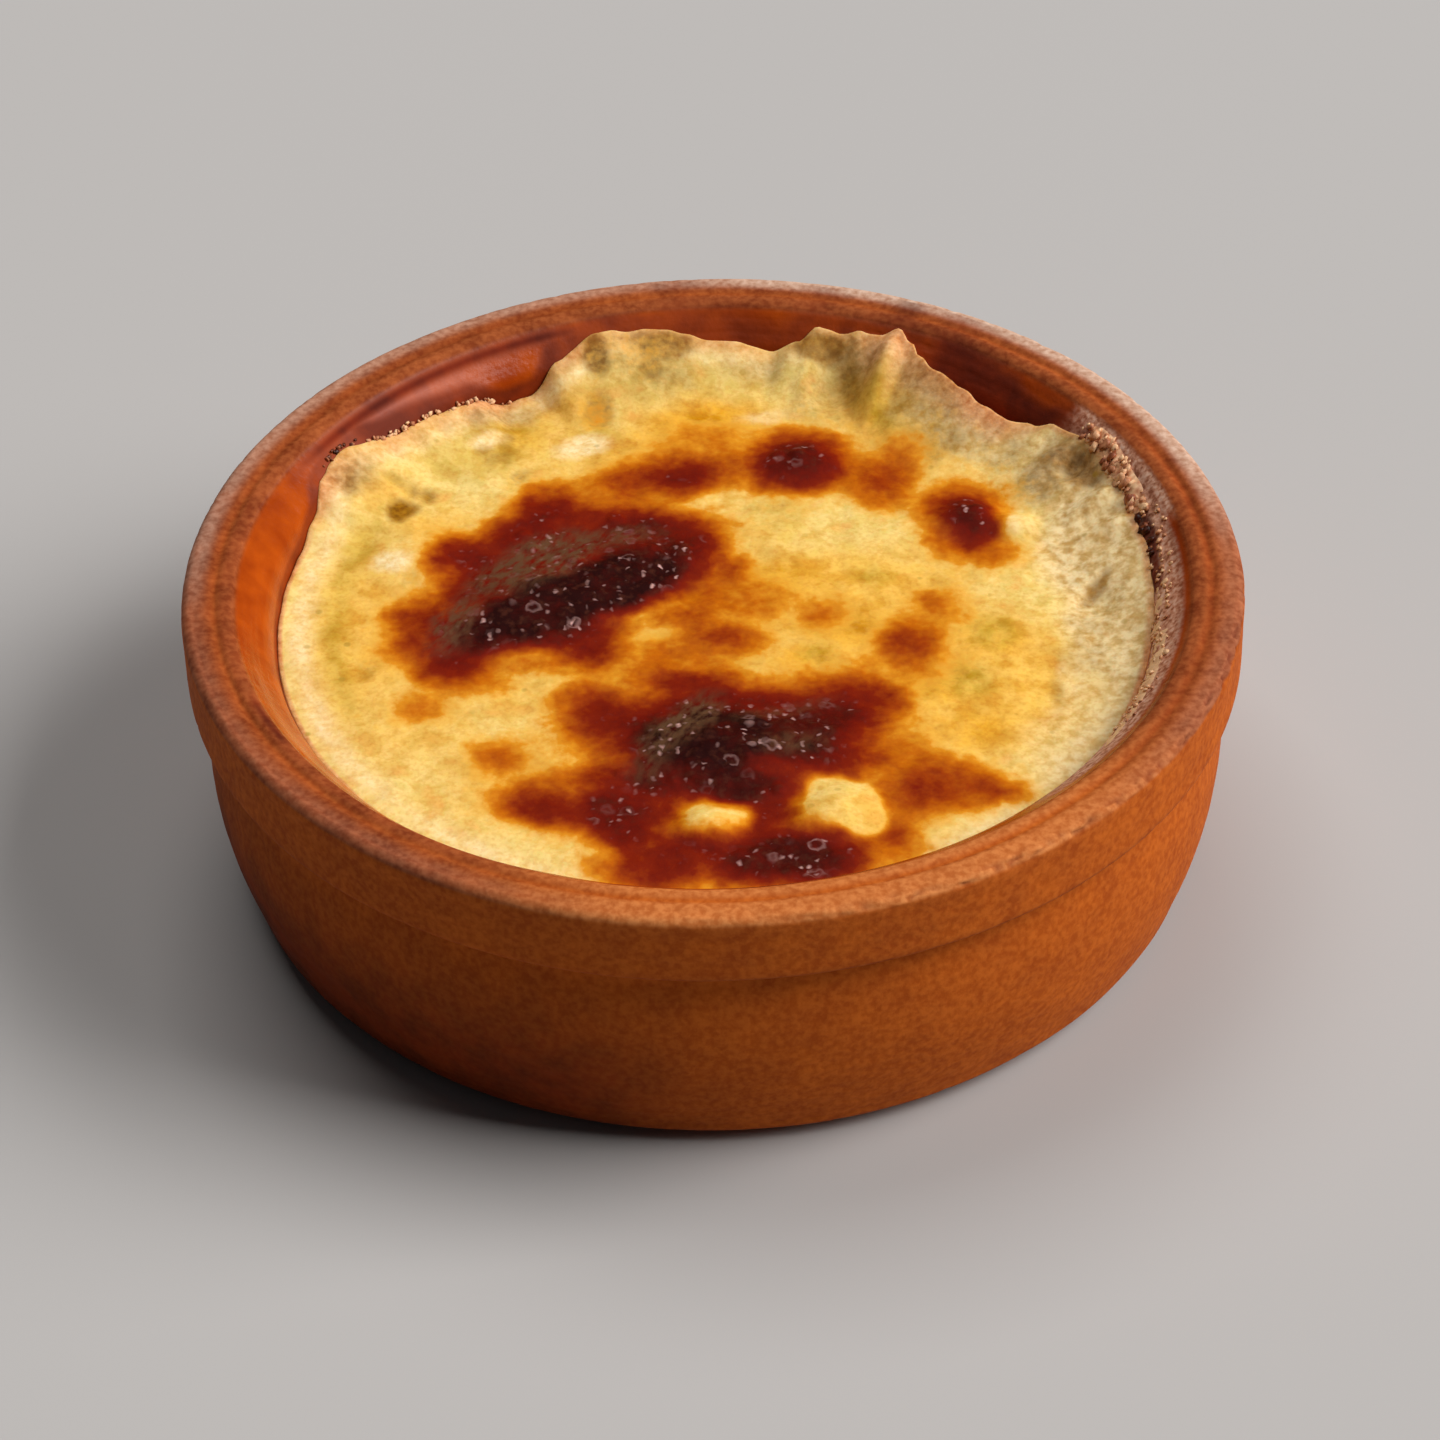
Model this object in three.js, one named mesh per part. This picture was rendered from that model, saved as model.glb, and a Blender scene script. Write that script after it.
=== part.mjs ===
// A baked rice pudding in its shallow round clay dish, in millimetres, +Z up.
// The origin is the centre of the dish's base, on the surface that it stands on.
// Angles go round the dish anticlockwise from +X, so the back of the dish, where the skin
// has climbed the wall, is at 90 degrees.
import * as THREE from 'three';

// Driving dimensions
const DISH_RADIUS = 65.5;
const DISH_HEIGHT = 39.8;
const RIM_WIDTH = 6.3;
const LEDGE_WIDTH = 5.1;
const COLLAR_HEIGHT = 9.5;
const COLLAR_STEP = 3.2;
const BELLY_SWELL = 2.05;
const FOOT_RADIUS = 53;
const FOOT_ROUNDING = { width: 7.7, height: 3.6 };
const FLOOR_THICKNESS = 6;
const FILL_LEVEL = 32.3;
const DOME = 0.5;
const GAP = 0.35;
const SEGMENTS = 72;

// Worked out from them
const LIP_RADIUS = DISH_RADIUS - RIM_WIDTH;
const FILL_RADIUS = LIP_RADIUS - LEDGE_WIDTH;
const COLLAR_FOOT = DISH_HEIGHT - COLLAR_HEIGHT;
const BODY_RADIUS = DISH_RADIUS - COLLAR_STEP;

const toRadians = THREE.MathUtils.degToRad;
const { lerp, smoothstep } = THREE.MathUtils;

// A stretch of an ellipse in the half plane of (radius, height), as points from one angle to the other.
function arc(centreRadius, centreHeight, width, height, fromDegrees, toDegrees, steps) {
  const points = [];
  for (let step = 0; step <= steps; step += 1) {
    const angle = toRadians(lerp(fromDegrees, toDegrees, step / steps));
    points.push(new THREE.Vector2(
      centreRadius + width * Math.cos(angle),
      centreHeight + height * Math.sin(angle),
    ));
  }
  return points;
}

// The inside of the dish: the lip, a sloping ledge under it, then the steep wall, to the round
// corner at the floor.
const innerWall = new THREE.SplineCurve([
  new THREE.Vector2(LIP_RADIUS, DISH_HEIGHT - 0.45),
  new THREE.Vector2(LIP_RADIUS - 0.7, DISH_HEIGHT - 1),
  new THREE.Vector2(LIP_RADIUS - 1.4, DISH_HEIGHT - 1.55),
  new THREE.Vector2(LIP_RADIUS - 2.7, DISH_HEIGHT - 2.7),
  new THREE.Vector2(LIP_RADIUS - 4, DISH_HEIGHT - 4.1),
  new THREE.Vector2(LIP_RADIUS - 4.7, DISH_HEIGHT - 5.6),
  new THREE.Vector2(FILL_RADIUS, DISH_HEIGHT - 8),
  new THREE.Vector2(FILL_RADIUS - 0.3, DISH_HEIGHT - 12.5),
  new THREE.Vector2(FILL_RADIUS - 0.4, DISH_HEIGHT / 2),
  new THREE.Vector2(FILL_RADIUS - 1.6, FLOOR_THICKNESS + 6),
  new THREE.Vector2(FILL_RADIUS - 4.2, FLOOR_THICKNESS + 2.2),
  new THREE.Vector2(FILL_RADIUS - 9, FLOOR_THICKNESS),
]).getPoints(17);

// The radius of the inner wall at a height.
function wallRadius(height) {
  for (let i = 1; i < innerWall.length; i += 1) {
    const above = innerWall[i - 1];
    const below = innerWall[i];
    if (height >= below.y) {
      const share = Math.min((height - below.y) / (above.y - below.y), 1);
      return lerp(below.x, above.x, share);
    }
  }
  return innerWall.at(-1).x;
}

// The clay dish, turned on a wheel: flat foot, full belly, a collar that stands proud of the
// belly, and a broad flat rim with a crisp outer edge that dips a little at the lip.
function dishGeometry() {
  const footTop = new THREE.Vector2(FOOT_RADIUS + FOOT_ROUNDING.width, FOOT_ROUNDING.height);
  const bellyTop = new THREE.Vector2(BODY_RADIUS, COLLAR_FOOT - 0.5);
  const bellyControl = new THREE.Vector2(
    (footTop.x + bellyTop.x) / 2 + 2 * BELLY_SWELL,
    (footTop.y + bellyTop.y) / 2,
  );
  const belly = new THREE.QuadraticBezierCurve(footTop, bellyControl, bellyTop).getPoints(5);
  const collarFootRounding = 0.9;
  const rimRounding = 1.3;
  const lipRounding = { width: 2.4, height: 0.6 };
  const profile = [
    new THREE.Vector2(0, 0),
    ...arc(FOOT_RADIUS, FOOT_ROUNDING.height, FOOT_ROUNDING.width, FOOT_ROUNDING.height, -90, -10, 3),
    ...belly,
    ...arc(DISH_RADIUS - collarFootRounding, COLLAR_FOOT + collarFootRounding,
      collarFootRounding, collarFootRounding, -90, 0, 2),
    ...arc(DISH_RADIUS - rimRounding, DISH_HEIGHT - rimRounding, rimRounding, rimRounding, 0, 90, 3),
    ...arc(LIP_RADIUS + lipRounding.width, DISH_HEIGHT - lipRounding.height,
      lipRounding.width, lipRounding.height, 100, 160, 2),
    ...innerWall,
    new THREE.Vector2(0, FLOOR_THICKNESS),
  ];
  return new THREE.LatheGeometry(profile, SEGMENTS).rotateX(Math.PI / 2);
}

// The edge of the skin round the dish: its height above the fill level, and how far it has pulled
// off the wall. It lies low at the front, rises to a corner at the left, folds down beside it,
// climbs to two crests at the back and is stretched free of the wall behind the right-hand crest.
const SKIN_EDGE = [
  { at: 2, rise: 0.9 },
  { at: 10, rise: 2 },
  { at: 20, rise: 3.8 },
  { at: 30, rise: 5.1 },
  { at: 37, rise: 4.3 },
  { at: 40, rise: 3.3, pulled: 0.4 },
  { at: 43, rise: 3.4, pulled: 2.6 },
  { at: 47, rise: 4.3, pulled: 3.8 },
  { at: 52, rise: 4.9, pulled: 3.5 },
  { at: 57, rise: 5.5, pulled: 2.9 },
  { at: 62, rise: 6, pulled: 0.5 },
  { at: 65, rise: 6.7 },
  { at: 73, rise: 6.2 },
  { at: 77, rise: 4.9 },
  { at: 81, rise: 2.9 },
  { at: 88, rise: 3.8 },
  { at: 97, rise: 5.2 },
  { at: 105, rise: 5.6 },
  { at: 111, rise: 3.7 },
  { at: 116, rise: 0.2 },
  { at: 119, rise: 0 },
  { at: 125, rise: 2.2 },
  { at: 137, rise: 3 },
  { at: 148, rise: 5 },
  { at: 153, rise: 4.2 },
  { at: 159, rise: 1.8 },
  { at: 164, rise: 0.5 },
  { at: 200, rise: -0.4 },
  { at: 330, rise: -0.6 },
  { at: 350, rise: 0 },
];

// One quantity of the skin's edge at an angle, run smoothly between the places listed above.
function skinEdge(degrees, quantity) {
  const next = SKIN_EDGE.find((place) => place.at > degrees) ?? SKIN_EDGE[0];
  const previous = SKIN_EDGE.findLast((place) => place.at <= degrees) ?? SKIN_EDGE.at(-1);
  const span = (next.at - previous.at + 360) % 360;
  const along = (degrees - previous.at + 360) % 360;
  return lerp(previous[quantity] ?? 0, next[quantity] ?? 0, smoothstep(along, 0, span));
}

// Swellings and hollows of the skin: centre, half length and half width, the direction of the
// length, and the height at the middle.
const RELIEF = [
  { x: -18, y: 6, length: 24, width: 10, turn: 26, lift: 1.6 }, // long scorched blister
  { x: 2, y: -26, length: 19, width: 10, turn: -4, lift: 1.5 }, // broad scorched blister
  { x: -1, y: -40, length: 5.4, width: 4.6, turn: 0, lift: 1.2 }, // front pale blister
  { x: 14, y: -38, length: 7, width: 6, turn: 20, lift: 1.4 }, // front right pale blister
  { x: 12, y: 32, length: 6.5, width: 6, turn: 0, lift: 1.1 }, // back scorched blister
  { x: 33, y: 19, length: 6, width: 5.6, turn: 0, lift: 1.2 }, // right scorched blister
  { x: 38.5, y: 17, length: 4.4, width: 4, turn: 0, lift: 1 }, // small pale blister
  { x: 17, y: 48, length: 6, width: 4.6, turn: 70, lift: -2 }, // pocket behind the crest
  { x: 23, y: 47, length: 10, width: 2.6, turn: 64, lift: 1.7 }, // fold below the crest
  { x: -26, y: 43, length: 11, width: 4, turn: 121, lift: -1.2 }, // fold beside the corner
  { x: 46, y: 27, length: 5, width: 4, turn: 30, lift: -1.3 }, // hollow at the right
  { x: 48, y: 1, length: 5, width: 4, turn: 90, lift: -0.8 }, // dent at the right
  { x: -38, y: 14, length: 9, width: 7, turn: 60, lift: 0.8 }, // swelling at the left
];

// The height that the swellings and hollows add at a point, each a smooth oval mound.
function relief(x, y) {
  return RELIEF.reduce((height, mound) => {
    const turn = toRadians(mound.turn);
    const east = x - mound.x;
    const north = y - mound.y;
    const along = (east * Math.cos(turn) + north * Math.sin(turn)) / mound.length;
    const across = (north * Math.cos(turn) - east * Math.sin(turn)) / mound.width;
    const inside = Math.max(1 - along * along - across * across, 0);
    return height + mound.lift * inside * inside;
  }, 0);
}

// The radius of the pudding's side at a height, one gap inside the wall and above the floor.
function fitRadius(height) {
  return wallRadius(height - GAP) - GAP;
}

// One line of the pudding's skin and side, from the middle of the top to the floor, at an angle.
function puddingProfile(degrees) {
  const crownRings = 21;
  const sideRings = 4;
  const crowding = 0.35; // brings the outer rings closer together than the inner ones
  const overrun = 0.6; // share of the climb that is cut off by the wall, so that the skin ends steep
  const flatMargin = 2.5; // the mounds die away over this last stretch before the edge
  const trenchHeight = FILL_LEVEL - 2.3;
  const rise = skinEdge(degrees, 'rise');
  const pulled = skinEdge(degrees, 'pulled');
  const edgeHeight = FILL_LEVEL + rise;
  const edgeRadius = fitRadius(edgeHeight) - pulled;
  const climb = 7 + 1.5 * Math.max(rise, 0);
  const climbed = (radius) => smoothstep(radius, edgeRadius - climb, edgeRadius + overrun * climb);
  const angle = toRadians(degrees);
  const line = [];
  const add = (radius, height) => {
    line.push(new THREE.Vector3(radius * Math.cos(angle), radius * Math.sin(angle), height));
  };
  for (let ring = 1; ring <= crownRings; ring += 1) {
    const share = ring / crownRings;
    const radius = edgeRadius * share * (1 + crowding - crowding * share);
    const nearEdge = climbed(radius) / climbed(edgeRadius);
    const settled = 1 - smoothstep(radius, edgeRadius - flatMargin, edgeRadius);
    const calm = DOME * (1 - (radius / edgeRadius) ** 2);
    const mounds = relief(radius * Math.cos(angle), radius * Math.sin(angle));
    add(radius, FILL_LEVEL + calm + rise * nearEdge + mounds * settled);
  }
  for (let ring = 1; ring <= sideRings; ring += 1) {
    const share = ring / sideRings;
    const height = lerp(edgeHeight, trenchHeight, share);
    add(fitRadius(height) - pulled * (1 - 0.2 * share), height);
  }
  const floor = FLOOR_THICKNESS + GAP;
  [trenchHeight - 0.4, 24, 16, 11, floor + 2, floor].forEach((height) => add(fitRadius(height), height));
  return line;
}

// The rice pudding: one closed solid out to its uneven skin, standing one gap clear of the clay.
function puddingGeometry() {
  const lines = Array.from({ length: SEGMENTS }, (_, i) => puddingProfile((i * 360) / SEGMENTS));
  const rings = lines[0].length;
  const top = new THREE.Vector3(0, 0, FILL_LEVEL + DOME + relief(0, 0));
  const bottom = new THREE.Vector3(0, 0, FLOOR_THICKNESS + GAP);
  const points = [top, ...lines.flat(), bottom];
  const bottomIndex = points.length - 1;
  const at = (line, ring) => 1 + (line % SEGMENTS) * rings + ring;
  const faces = [];
  for (let line = 0; line < SEGMENTS; line += 1) {
    faces.push(0, at(line, 0), at(line + 1, 0));
    for (let ring = 0; ring < rings - 1; ring += 1) {
      faces.push(at(line, ring), at(line, ring + 1), at(line + 1, ring + 1));
      faces.push(at(line, ring), at(line + 1, ring + 1), at(line + 1, ring));
    }
    faces.push(bottomIndex, at(line + 1, rings - 1), at(line, rings - 1));
  }
  const geometry = new THREE.BufferGeometry().setFromPoints(points);
  geometry.setIndex(faces);
  geometry.computeVertexNormals();
  return geometry;
}

const terracotta = new THREE.MeshStandardMaterial({ color: '#b85a2c', roughness: 0.85 });
const bakedMilkSkin = new THREE.MeshStandardMaterial({ color: '#ecca7c', roughness: 0.5 });

const dish = new THREE.Mesh(dishGeometry(), terracotta);
dish.name = 'dish';

const pudding = new THREE.Mesh(puddingGeometry(), bakedMilkSkin);
pudding.name = 'pudding';

const ricePudding = new THREE.Group();
ricePudding.add(dish, pudding);

export default ricePudding;
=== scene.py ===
# A baked rice pudding in its shallow round clay dish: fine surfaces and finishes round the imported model.
# Shapes are worked out in millimetres and turned into metres when their meshes are made. Angles go
# round the dish anticlockwise from +X, in degrees, so its back is at 90.
import math
import random
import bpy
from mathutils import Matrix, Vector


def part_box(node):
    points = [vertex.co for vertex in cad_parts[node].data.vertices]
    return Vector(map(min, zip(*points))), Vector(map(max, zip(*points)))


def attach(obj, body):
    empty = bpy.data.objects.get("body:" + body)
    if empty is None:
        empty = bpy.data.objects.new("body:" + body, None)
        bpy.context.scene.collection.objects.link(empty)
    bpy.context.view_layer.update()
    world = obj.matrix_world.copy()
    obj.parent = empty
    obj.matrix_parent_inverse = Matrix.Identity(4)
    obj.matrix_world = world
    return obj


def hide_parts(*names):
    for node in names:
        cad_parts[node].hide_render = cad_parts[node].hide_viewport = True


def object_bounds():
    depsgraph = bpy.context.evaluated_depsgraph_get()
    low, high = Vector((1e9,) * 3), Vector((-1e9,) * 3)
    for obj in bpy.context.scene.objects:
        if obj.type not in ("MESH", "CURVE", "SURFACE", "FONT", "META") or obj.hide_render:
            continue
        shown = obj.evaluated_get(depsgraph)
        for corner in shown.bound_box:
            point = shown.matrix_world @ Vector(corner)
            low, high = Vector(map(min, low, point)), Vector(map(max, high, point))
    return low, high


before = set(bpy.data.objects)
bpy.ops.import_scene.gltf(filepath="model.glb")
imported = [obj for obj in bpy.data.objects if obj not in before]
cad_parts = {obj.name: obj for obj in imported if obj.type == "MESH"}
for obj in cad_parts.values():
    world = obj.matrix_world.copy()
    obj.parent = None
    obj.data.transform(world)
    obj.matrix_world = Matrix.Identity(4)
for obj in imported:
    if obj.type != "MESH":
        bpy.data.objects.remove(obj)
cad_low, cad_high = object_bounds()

from types import SimpleNamespace

import bpy
import numpy as np
from mathutils import Quaternion, Vector, noise

MM = 0.001
PER_MM = 1 / MM

# Driving dimensions of the dish, from its solid, and of the fired clay's section
dish_low, dish_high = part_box("dish")
DISH_RADIUS = (dish_high.x - dish_low.x) / 2 / MM
DISH_HEIGHT = dish_high.z / MM
RIM_WIDTH = 6.3
LEDGE_WIDTH = 5.1
COLLAR_HEIGHT = 9.5
COLLAR_STEP = 3.2
BELLY_SWELL = 2.05
FOOT_RADIUS = 53.0
FOOT_ROUNDING = (7.7, 3.6)
FLOOR_THICKNESS = 6.0
LIP_RADIUS = DISH_RADIUS - RIM_WIDTH
COLLAR_FOOT = DISH_HEIGHT - COLLAR_HEIGHT
BODY_RADIUS = DISH_RADIUS - COLLAR_STEP

# Driving dimensions of the pudding
FILL_LEVEL = 32.3
FILL_RADIUS = LIP_RADIUS - LEDGE_WIDTH
DOME = 0.5

# How finely the surfaces are cut: lines round the dish and the pudding, and rings of the skin
DISH_LINES = 440
SKIN_LINES = 620
SKIN_RINGS = 135


# ------------------------------------------------------------------ helpers


def smooth(value, low, high):
    """0 below low, 1 above high, and a smooth rise between them."""
    share = np.clip((value - low) / (high - low), 0, 1)
    return share * share * (3 - 2 * share)


def band(values, middle, half_width):
    """1 at the middle of a soft band and near 0 beyond its half width."""
    return np.exp(-(((values - middle) / half_width) ** 2))


def arc_share(degrees, middle, half_width, fade):
    """1 within half_width degrees of the middle of an arc of the dish, and 0 past the fade."""
    off = np.abs((degrees - middle + 180) % 360 - 180)
    return 1 - smooth(off, half_width, half_width + fade)


def lumps(points, size, seed):
    """Smooth random values from about -1 to 1 at the points, in lumps about size millimetres wide."""
    shift = Vector((seed, 2.3 * seed, -1.7 * seed))
    values = [noise.noise(Vector(point) / size + shift) for point in points.reshape(-1, 3)]
    return np.array(values).reshape(points.shape[:-1])


def round_about(lines):
    """The angles of a number of lines evenly round the dish, as a column of degrees."""
    return np.arange(lines)[:, None] * 360 / lines


def turned(degrees, radius, height):
    """Points at angles round the axis, as x, y and height."""
    turn = np.radians(degrees)
    x, y = radius * np.cos(turn), radius * np.sin(turn)
    return np.stack([x, y, np.broadcast_to(height, x.shape)], -1)


def new_piece(name, corners, faces):
    """A new smooth piece of the scene, from corners in millimetres and faces."""
    mesh = bpy.data.meshes.new(name)
    mesh.from_pydata((np.array(corners) * MM).tolist(), [], faces)
    mesh.shade_smooth()
    piece = bpy.data.objects.new(name, mesh)
    bpy.context.scene.collection.objects.link(piece)
    return piece


def turned_piece(name, lines, first, last):
    """A closed piece of lines side by side round the axis, that run from one point on it to another."""
    count, rings, _ = lines.shape
    corners = np.vstack([first, lines.reshape(-1, 3), last])
    line = np.arange(count)
    start = 1 + line * rings
    start_beside = 1 + (line + 1) % count * rings
    ring = np.arange(rings - 1)
    here, beside = start[:, None] + ring, start_beside[:, None] + ring
    quads = np.stack([here, here + 1, beside + 1, beside], axis=-1).reshape(-1, 4)
    first_cap = np.stack([0 * start, start, start_beside], 1)
    last_cap = np.stack([0 * start + len(corners) - 1, start_beside + rings - 1, start + rings - 1], 1)
    return new_piece(name, corners, quads.tolist() + first_cap.tolist() + last_cap.tolist())


def store(piece, name, values):
    """Keeps one number for each corner point of the mesh, for its material to read."""
    attribute = piece.data.attributes.new(name, "FLOAT", "POINT")
    attribute.data.foreach_set("value", np.asarray(values, dtype=np.float32))


# ------------------------------------------------------------------ colours and nodes


def colour(code):
    """An sRGB hex colour as the linear values that Blender works in."""
    levels = [int(code[i : i + 2], 16) / 255 for i in (1, 3, 5)]
    return (*[v / 12.92 if v <= 0.04045 else ((v + 0.055) / 1.055) ** 2.4 for v in levels], 1.0)


def add(tree, kind, inputs=None, stops=(), **settings):
    """Adds a node, with its settings, its colour stops, and its inputs as values or links."""
    node = tree.nodes.new("ShaderNode" + kind)
    for name, value in settings.items():
        setattr(node, name, value)
    for name, value in (inputs or {}).items():
        if isinstance(value, bpy.types.NodeSocket):
            tree.links.new(value, node.inputs[name])
        else:
            node.inputs[name].default_value = value
    for place, (position, code) in enumerate(stops):
        elements = node.color_ramp.elements
        element = elements[place] if place < 2 else elements.new(position)
        element.position = position
        element.color = colour(code)
    return node


def new_material(name):
    """An empty node material, as (material, tree)."""
    material = bpy.data.materials.new(name)
    material.use_nodes = True
    material.node_tree.nodes.clear()
    return material, material.node_tree


# ------------------------------------------------------------------ the clay dish


def arc(centre_radius, centre_height, width, height, start, end, steps):
    """A stretch of an ellipse in the half plane of (radius, height), from one angle to another."""
    angles = np.radians(np.linspace(start, end, steps + 1))
    return np.stack([centre_radius + width * np.cos(angles), centre_height + height * np.sin(angles)], 1)


def through(points, steps):
    """A smooth curve through the points, by the uniform Catmull-Rom rule."""
    points = np.array(points, dtype=float)
    padded = np.vstack([2 * points[0] - points[1], points, 2 * points[-1] - points[-2]])
    places = np.linspace(0, len(points) - 1, steps + 1)
    span = np.minimum(places.astype(int), len(points) - 2)
    t = (places - span)[:, None]
    a, b, c, d = (padded[span + k] for k in range(4))
    return 0.5 * (2 * b + (c - a) * t + (2 * a - 5 * b + 4 * c - d) * t**2 + (3 * b - a - 3 * c + d) * t**3)


# The inside of the dish from the floor up: round corner, steep wall, sloping ledge, lip.
INNER_WALL = through(
    [
        (FILL_RADIUS - 9, FLOOR_THICKNESS),
        (FILL_RADIUS - 4.2, FLOOR_THICKNESS + 2.2),
        (FILL_RADIUS - 1.6, FLOOR_THICKNESS + 6),
        (FILL_RADIUS - 0.4, DISH_HEIGHT / 2),
        (FILL_RADIUS - 0.3, DISH_HEIGHT - 12.5),
        (FILL_RADIUS, DISH_HEIGHT - 8),
        (LIP_RADIUS - 4.7, DISH_HEIGHT - 5.6),
        (LIP_RADIUS - 4, DISH_HEIGHT - 4.1),
        (LIP_RADIUS - 2.7, DISH_HEIGHT - 2.7),
        (LIP_RADIUS - 1.4, DISH_HEIGHT - 1.55),
        (LIP_RADIUS - 0.7, DISH_HEIGHT - 1),
        (LIP_RADIUS, DISH_HEIGHT - 0.45),
    ],
    steps=80,
)


def wall_radius(height):
    """The radius of the inner wall at a height."""
    return np.interp(height, INNER_WALL[:, 1], INNER_WALL[:, 0])


def dish_section():
    """The section of the dish from the middle of its floor, over the rim, to the middle of its foot."""
    innermost = 4.0
    lip_width, lip_height = 2.4, 0.6
    rim_rounding = 1.3
    collar_rounding = 0.9
    foot_width, foot_height = FOOT_ROUNDING
    foot_top = np.array([FOOT_RADIUS + foot_width, foot_height])
    belly_top = np.array([BODY_RADIUS, COLLAR_FOOT - 0.5])
    belly_control = (foot_top + belly_top) / 2 + [2 * BELLY_SWELL, 0]
    t = np.linspace(0, 1, 34)[:, None]
    belly = (1 - t) ** 2 * belly_top + 2 * t * (1 - t) * belly_control + t**2 * foot_top
    return np.vstack([
        [(radius, FLOOR_THICKNESS) for radius in (innermost, FILL_RADIUS / 2, FILL_RADIUS - 12)],
        INNER_WALL,
        arc(LIP_RADIUS + lip_width, DISH_HEIGHT - lip_height, lip_width, lip_height, 165, 100, 8),
        arc(DISH_RADIUS - rim_rounding, DISH_HEIGHT - rim_rounding, rim_rounding, rim_rounding, 90, 0, 12),
        arc(DISH_RADIUS - collar_rounding, COLLAR_FOOT + collar_rounding,
            collar_rounding, collar_rounding, 0, -90, 6),
        belly,
        arc(FOOT_RADIUS, foot_height, foot_width, foot_height, -10, -90, 12),
        [(radius, 0) for radius in (FOOT_RADIUS - 8, FOOT_RADIUS / 2, innermost)],
    ])


def stepped(section):
    """The section in steps that are short on the rim and ledge, and long where nothing shows."""
    rim_step, body_step, hidden_step = 0.25, 0.8, 5.0
    ledge_foot = DISH_HEIGHT - 7
    points = [section[0]]
    for start, end in zip(section, section[1:]):
        if min(start[1], end[1]) > ledge_foot:
            longest = rim_step
        elif min(start[0], end[0]) > FILL_RADIUS + 1:
            longest = body_step
        else:
            longest = hidden_step
        if np.linalg.norm(end - points[-1]) < 0.4 * longest:
            continue
        cuts = math.ceil(np.linalg.norm(end - start) / longest)
        points += [start + (end - start) * (cut + 1) / cuts for cut in range(cuts)]
    return np.array(points)


def thrown_surface(section):
    """Where each point of the dish lies, and the parts of it that its wear and its colours follow."""
    degrees = round_about(DISH_LINES)
    shape = (DISH_LINES, len(section))
    radius, height = (np.broadcast_to(column, shape) for column in section.T)
    places = turned(degrees, radius, height)
    on_top = smooth(height, DISH_HEIGHT - 1.1, DISH_HEIGHT - 0.6)
    chipped = smooth(lumps(places, 1.3, 6.6), 0.0, 0.4)
    inner = np.broadcast_to(np.arange(len(section)) < np.argmax(section[:, 1]), shape)
    return SimpleNamespace(
        degrees=degrees,
        radius=radius,
        height=height,
        places=places,
        inner=inner,
        outer=~inner,
        on_top=on_top,
        rim_groove=band(radius, LIP_RADIUS + 2.2, 0.6) * on_top,
        rim=on_top * smooth(radius, LIP_RADIUS - 0.4, LIP_RADIUS + 0.4),
        corner=band(radius, DISH_RADIUS - 0.4, 0.8) * band(height, DISH_HEIGHT - 0.4, 0.8),
        chipped=chipped * (0.12 + 0.88 * arc_share(degrees, -42, 25, 20)),
        front=arc_share(degrees, -75, 20, 30),
        over_skin=height - FILL_LEVEL - round_the_edge(degrees, 1),
    )


def worn_depth(clay, section):
    """How deep the wheel, the potter's finger and wear have gone into the clay."""
    # throwing lines: rings a millimetre or two apart that fade in and out along their way
    stride = np.linalg.norm(np.diff(section, axis=0), axis=1)
    travelled = np.broadcast_to(np.concatenate([[0], np.cumsum(stride)]), clay.radius.shape)
    slowly_round = 40  # how many times longer the lines are than they would be as plain lumps
    along = np.stack([clay.places[..., 0] / slowly_round, clay.places[..., 1] / slowly_round, travelled], -1)
    rings = lumps(along, 1.3, 3.1) + 0.6 * lumps(along, 0.7, 8.2)
    dents = lumps(clay.places, 9.0, 5.7)
    pits = smooth(lumps(clay.places, 1.6, 1.9), 0.42, 0.75)
    wander = 0.7 + 0.5 * lumps(clay.places, 14.0, 2.6)

    # a finger's groove round the rim, two shallow lines round the collar, and the chipped corner
    collar_lines = band(clay.height, DISH_HEIGHT - 3, 0.4) + 0.6 * band(clay.height, DISH_HEIGHT - 6.5, 0.5)
    even, ring_depth, dent_depth, pit_depth = 0.06, 0.04, 0.06, 0.12
    groove_depth, line_depth, chip_depth, deepest = 0.36, 0.13, 0.6, 0.6
    depth = even + ring_depth * rings + dent_depth * dents + pit_depth * pits
    depth = depth + (groove_depth * clay.rim_groove + line_depth * collar_lines * clay.outer) * wander
    depth = depth + chip_depth * clay.corner * clay.chipped
    shown = (clay.height > 1.2) & (clay.radius > FILL_RADIUS - 1)
    depth = np.where(shown, np.clip(depth, 0, deepest), 0)

    # at the front left the ledge is steeper, so that it hides none of the skin
    eased = arc_share(clay.degrees, 216, 18, 20) * band(clay.height, DISH_HEIGHT - 3.8, 2.4)
    return depth + 0.9 * eased * clay.inner


# Where the wall is darkened just above the edge of the skin: by boiled-over milk, and by painted shade along
# the skin's edge and in the gap behind the pulled-off skin at 48 degrees. Middle, half width and fade of the
# arc, strength, and the heights over the edge of the skin where the darkening begins to fade and where it is
# gone.
WALL_STAINS_AND_SHADE = [
    (145, 125, 20, 0.5, 0.9, 1.8),
    (127, 15, 5, 0.7, 1.4, 2.8),
    (85, 8, 6, 0.6, 1, 4.5),
    (48, 9, 6, 0.9, 1, 3),
    (7, 6, 3, 0.9, 0.9, 1.6),
]


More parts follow.
